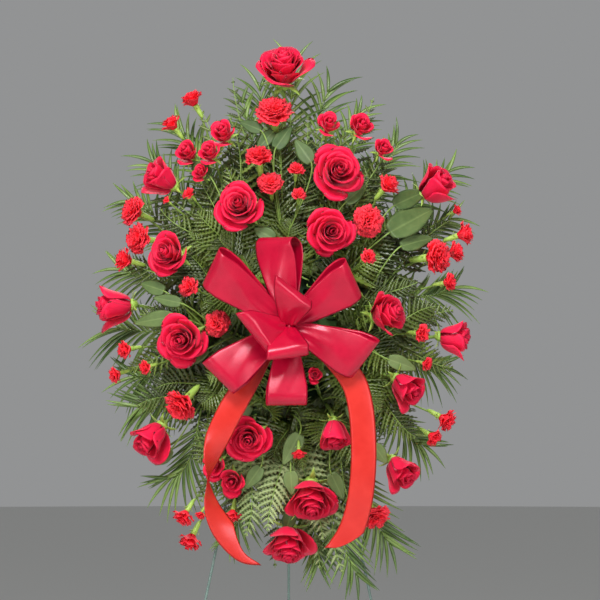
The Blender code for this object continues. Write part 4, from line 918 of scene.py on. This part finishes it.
# A calyx swells along its length: a tube that widens as a power of the way up, or a hip on a sine.
has_tube = (kinds == "carnation") | (kinds == "mini")
reach = np.where(has_tube, 0.56, 0.20) * sizes
steps = np.linspace(0, 1, CUP_STATIONS)
swell = np.where(has_tube[:, None], 0.055 + 0.055 * steps**0.6, 0.05 + 0.10 * np.sin(math.pi * steps * 0.62))
swell = swell * sizes[:, None] * np.minimum(1, 4 * steps + 0.3)
low = seats - ways * (reach * 0.9)[:, None]
cups = low[:, None] + ways[:, None] * (reach[:, None] * steps)[..., None]

spoke = circle_round(ways, TILTED, SEPALS)
roots = (seats - ways * 0.004)[:, None] + spoke * (0.09 * sizes)[:, None, None]
heading = unit(spoke + ways[:, None] * 0.35)
face = np.cross(heading, unit(np.cross(ways[:, None], heading)))
length = np.repeat(np.where(has_tube, 0.14, 0.34) * sizes, SEPALS)
bend = -ways[:, None] * np.where(has_tube, -0.3, 0.45)[:, None, None] + 0 * spoke
sepals = leaflets(roots, heading, face, length, length * SEPAL_WIDE, bend, SEPAL_FOLD, rows=7)
calyx_greens = srgb(112, 158, 44), srgb(186, 212, 104)
calyx_look = mottled_look("calyx", 130.0, *calyx_greens, 900.0, 0.15, 0.0003, 0.5)
stem_parts = [
    tube(paths, radii[:, None], STEM_SIDES, FORWARD),
    tube(cups, swell, CUP_SIDES, TILTED, 1),
    shell(sepals, SEPAL_THICK, SEPAL_TONE, 1),
]
piece("stems_and_calyxes", stem_parts, [stem_look, calyx_look], greenery)


# The bow is one long satin ribbon, folded back and forth into six outer and three inner loops and wired at
# its middle. Each loop is a teardrop whose ribbon is gathered to a few pleats at the knot.
KNOT_F = 0.250
RIBBON_THICK = 0.0006
OUTER_LOOPS = [  # angle, reach, half width at the end, roll, how much the end leans, side of the crease
    (96.5, 135, 34, 43, -0.05, 1),
    (141, 146, 32, 35, 0.035, 1),
    (217, 130, 32, 4, 0.037, -1),
    (269, 118, 30, 5, 0.01, 1),
    (337, 126, 34, -26, -0.068, 1),
    (38, 123, 32, -36, -0.04, -1),
]
INNER_LOOPS = [
    (80, 62, 30, -6, -0.30, 1),
    (196, 66, 32, 4, 0.30, 1),
    (270, 60, 31, 0, 0.10, -1),
]
# Radius of the roll, half the gap at the knot, depth in front of the knot's middle, where a loop starts, and
# how far it leans forward in degrees.
OUTER_SHAPE = (0.0145, 0.003, -0.009, 0.006, 0)
INNER_SHAPE = (0.0105, 0.002, 0.006, 0.002, 34)
GATHERED_HALF, PLEAT_DEEP, CREASE_HIGH, LOOP_CUP = 0.007, 0.0012, 0.010, 0.002
KNOT_HALF_LONG, KNOT_BACK, KNOT_R, KNOT_STATIONS, KNOT_SIDES = 0.0155, 0.0065, 0.0095, 13, 24


def bow_loops(rows, roll_r, gap, rise, start, forward, columns=21, stations=73):
    """Middle surfaces of bow loops. Seen from the side a loop is a circle at its far end and the two straight
    lines that touch the circle and run in to the knot. The loop turns about its own line on the way
    there, the width fans out with the reach, fine pleats die out along it, and one soft crease runs across
    each face."""
    angle, length, wide, roll, skew, crease = np.array(rows, float).T[:, :, None, None]
    angle, length, wide, roll = np.radians(angle), length * MM, wide * MM, np.radians(roll)
    u = np.linspace(-1, 1, columns)[None, :, None]
    s = np.linspace(-1, 1, stations)[None, None, :]
    t, face = 1 - np.abs(s), np.tanh(s * 9)
    slope = np.arcsin((roll_r - gap) / (length - roll_r - start))
    line, arc = np.minimum(t / 0.5, 1), np.maximum((t - 0.5) / 0.5, 0)
    round_off = (math.pi / 2 + slope) * arc - slope
    straight = length - roll_r * (1 + np.sin(slope)) - start
    reach = start + straight * line + roll_r * (np.sin(round_off) + np.sin(slope))
    height = np.sign(s) * (gap + (roll_r - gap) * line + roll_r * (np.cos(round_off) - np.cos(slope)))
    share = np.clip(reach / length, 0, 1)
    half = GATHERED_HALF + (wide - GATHERED_HALF) * np.minimum(1, share / 0.78) ** 0.8
    pleats = PLEAT_DEEP * np.clip(1 - share / 0.6, 0, 1) * np.cos(3 * math.pi * u + angle)
    ridge = np.clip(1 - np.abs(u - crease * (1.7 * share - 0.9)) * 1.6, 0, 1)
    height = height + face * (pleats + CREASE_HIGH * ridge * share * (1 - share) - LOOP_CUP * u**2 * share)
    reach = reach * (1 + skew * u * share)
    out = np.cos(angle)[..., None] * RIGHT + np.sin(angle)[..., None] * UP
    across = np.cross(out, FORWARD)
    up = math.radians(forward)
    ahead = out * math.cos(up) + FORWARD * math.sin(up)
    above = FORWARD * math.cos(up) - out * math.sin(up)
    cos, sin = np.cos(roll * share)[..., None], np.sin(roll * share)[..., None]
    raised, aside = above * cos - across * sin, across * cos + above * sin
    knot = seen_point(0, 0, KNOT_F + rise)
    return knot + ahead * reach[..., None] + raised * height[..., None] + aside * (half * u)[..., None]


def satin_look(name, deep, bright, thread):
    """Satin: smooth threads along the ribbon, which catch the light through their bumps and roughness, and a
    faint weave across. The threads also lighten the colour a little: painted sheen.
    """
    look = Look(name, Specular_IOR_Level=0.75, Specular_Tint=(1.0, 0.50, 0.58))
    here = look.here()
    cloud = look.noise(here, 24.0)
    threads = (look.uv(0) * thread).sine() * 0.5 + 0.5
    # The threads' share of the colour is painted sheen. The soft patches are the ribbon's own colour.
    return look.set(
        Base_Color=look.mix((cloud * 0.8 + threads * 0.12).clamp(), deep, bright),
        Roughness=0.23 + 0.08 * cloud + 0.04 * threads,
        Normal=look.bump(threads + look.noise(here, 500.0), 0.08, 0.0003),
    )


def path_length(surface):
    """Length of each surface along its middle column, added up."""
    middle = surface[:, surface.shape[1] // 2]
    return float(np.linalg.norm(np.diff(middle, axis=1), axis=-1).sum())


bow_look = satin_look("crimson satin", srgb(142, 0, 32), srgb(206, 6, 54), 600.0)
outer = bow_loops(OUTER_LOOPS, *OUTER_SHAPE)
inner = bow_loops(INNER_LOOPS, *INNER_SHAPE, stations=57)
bow_parts = [shell(outer, RIBBON_THICK), shell(inner, RIBBON_THICK)]
bow = piece("bow_ribbon", bow_parts, [bow_look], ["bow"])

steps = np.linspace(-1, 1, KNOT_STATIONS)[:, None]
knot_path = seen_point(0, 0, KNOT_F) + (steps * KNOT_HALF_LONG - KNOT_BACK) * FORWARD
knot_radius = KNOT_R * (1 - 0.55 * np.abs(steps[:, 0]) ** 3)
knot = piece("bow_knot", [tube(knot_path, knot_radius, KNOT_SIDES, UP)], [bow_look], ["bow"])
path_length(outer) + path_length(inner)


# The banner's two tails are narrow orange-red satin, pinned behind the knot. The left one twists once on its
# way down, the right one hangs flat and is cut at a slant.
BANNER_W, BANNER_THICK, BANNER_CUP = 0.038, 0.0006, 0.0015
LEFT_TAIL = [  # right, up, depth in metres, share of the width, twist
    (-38, -338, 0.150, 1.0, 0), (-64, -334, 0.158, 1.0, -4), (-88, -312, 0.168, 1.0, -10),
    (-105, -286, 0.178, 1.0, -32), (-114, -260, 0.186, 1.0, -58), (-118, -228, 0.194, 0.9, -86),
    (-117, -212, 0.199, 0.95, -72), (-114, -196, 0.204, 1.0, -55), (-109, -178, 0.208, 1.0, -37),
    (-102, -160, 0.212, 1.0, -20), (-80, -116, 0.218, 1.0, 0), (-50, -68, 0.222, 0.8, 0),
    (-20, -22, 0.2264, 0.35, 0), (-4.4, -5, 0.2264, 0.25, 0),
]
RIGHT_TAIL = [
    (68, -343, 0.156, 1.0, 0), (78, -331, 0.160, 1.0, 0), (91, -310, 0.168, 1.0, 0),
    (101, -284, 0.178, 1.0, 0), (108, -252, 0.190, 1.0, 0), (112, -210, 0.201, 1.0, 0),
    (112, -166, 0.208, 1.0, 0), (108, -120, 0.214, 1.0, 0), (96, -80, 0.218, 1.0, 0),
    (64, -44, 0.222, 0.8, 0), (24, -16, 0.2264, 0.35, 0), (3.8, -2, 0.2264, 0.25, 0),
]
CUT_ROWS = 2.4


def smoothed(rows, at):
    """Rows of a table read at any places along smooth cubic pieces that pass through each row."""
    rows = np.array(rows, float)
    slope = np.gradient(rows, axis=0)
    i = np.minimum(at.astype(int), len(rows) - 2)
    t = (at - i)[..., None]
    ease = 3 * t**2 - 2 * t**3
    bent = slope[i] * (t - 2 * t**2 + t**3) + slope[i + 1] * (t**3 - t**2)
    return rows[i] + (rows[i + 1] - rows[i]) * ease + bent


def tail_surface(rows, columns=13, stations=97):
    """Middle surface of a tail from its cut end up to the knot. Its width is turned about the path by the
    twist, the ribbon cups a little across, and the cut slants because one edge starts further on."""
    u = np.linspace(-1, 1, columns)[:, None]
    begin = CUT_ROWS * (1 + u) / 2
    at = begin + (len(rows) - 1 - begin) * np.linspace(0, 1, stations)
    x, z, f, share, twist = np.moveaxis(smoothed(rows, at), -1, 0)
    centre = seen_point(x * MM, z * MM, f)
    along = unit(np.gradient(centre, axis=1))
    flat = unit(np.cross(along, FORWARD))
    a = np.radians(twist)[..., None]
    side = flat * np.cos(a) + FORWARD * np.sin(a)
    half = (BANNER_W / 2 * np.clip(share, 0.2, 1))[..., None]
    cup = np.cross(along, flat) * BANNER_CUP * (1 - u[..., None] ** 2)
    return (centre + side * u[..., None] * half - cup)[None]


banner_look = satin_look("orange-red satin", srgb(182, 24, 17), srgb(217, 58, 46), 320.0)
for side_name, rows in (("left", LEFT_TAIL), ("right", RIGHT_TAIL)):
    surface = tail_surface(rows)
    part = shell(surface, BANNER_THICK)
    tail = piece(f"banner_{side_name}", [part], [banner_look], [f"banner_tail_{side_name}"])
    path_length(surface)


# The foam brick, its plastic cage, the wooden pick and the tie wire keep their solids, with their finishes.
foam_look = Look("wet foam", Roughness=0.95)
here = foam_look.here()
pores = foam_look.node("TexVoronoi", {}, {"Vector": here, "Scale": 900.0})
# The foam is painted very dark: its own dark wet green, and painted shade for the gaps between the greenery.
foam_greens_and_shade = foam_look.mix(foam_look.noise(here, 60.0), srgb(14, 40, 20), srgb(28, 62, 32))
foam_look.set(Base_Color=foam_greens_and_shade, Normal=foam_look.bump(pores, 0.5, 0.0008))
# The cage is painted very dark too: its own green plastic, and painted shade for the gaps between the
# greenery.
cage_greens_and_shade = srgb(14, 40, 22), srgb(24, 56, 30)
cage_look = mottled_look("moulded plastic", 40.0, *cage_greens_and_shade, 800.0, 0.1, 0.0002, 0.45)
wood_look = Look("split wood", Roughness=0.7)
grain = wood_look.noise(wood_look.here(), 300.0)
wood_look.set(Base_Color=wood_look.mix(grain, srgb(150, 112, 70), srgb(196, 160, 110)))
for node, look in (
    ("floral_foam", foam_look),
    ("foam_cage", cage_look),
    ("bow_pick", wood_look),
    ("tie_wire", wire_look),
    ("cross_wire_with_hooks", wire_look),
):
    frame["nodes"][node].data.materials.clear()
    frame["nodes"][node].data.materials.append(look.material)

boxes = {"cad": cad_box, "visual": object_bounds()}
{name: [list(corner) for corner in box] for name, box in boxes.items()}
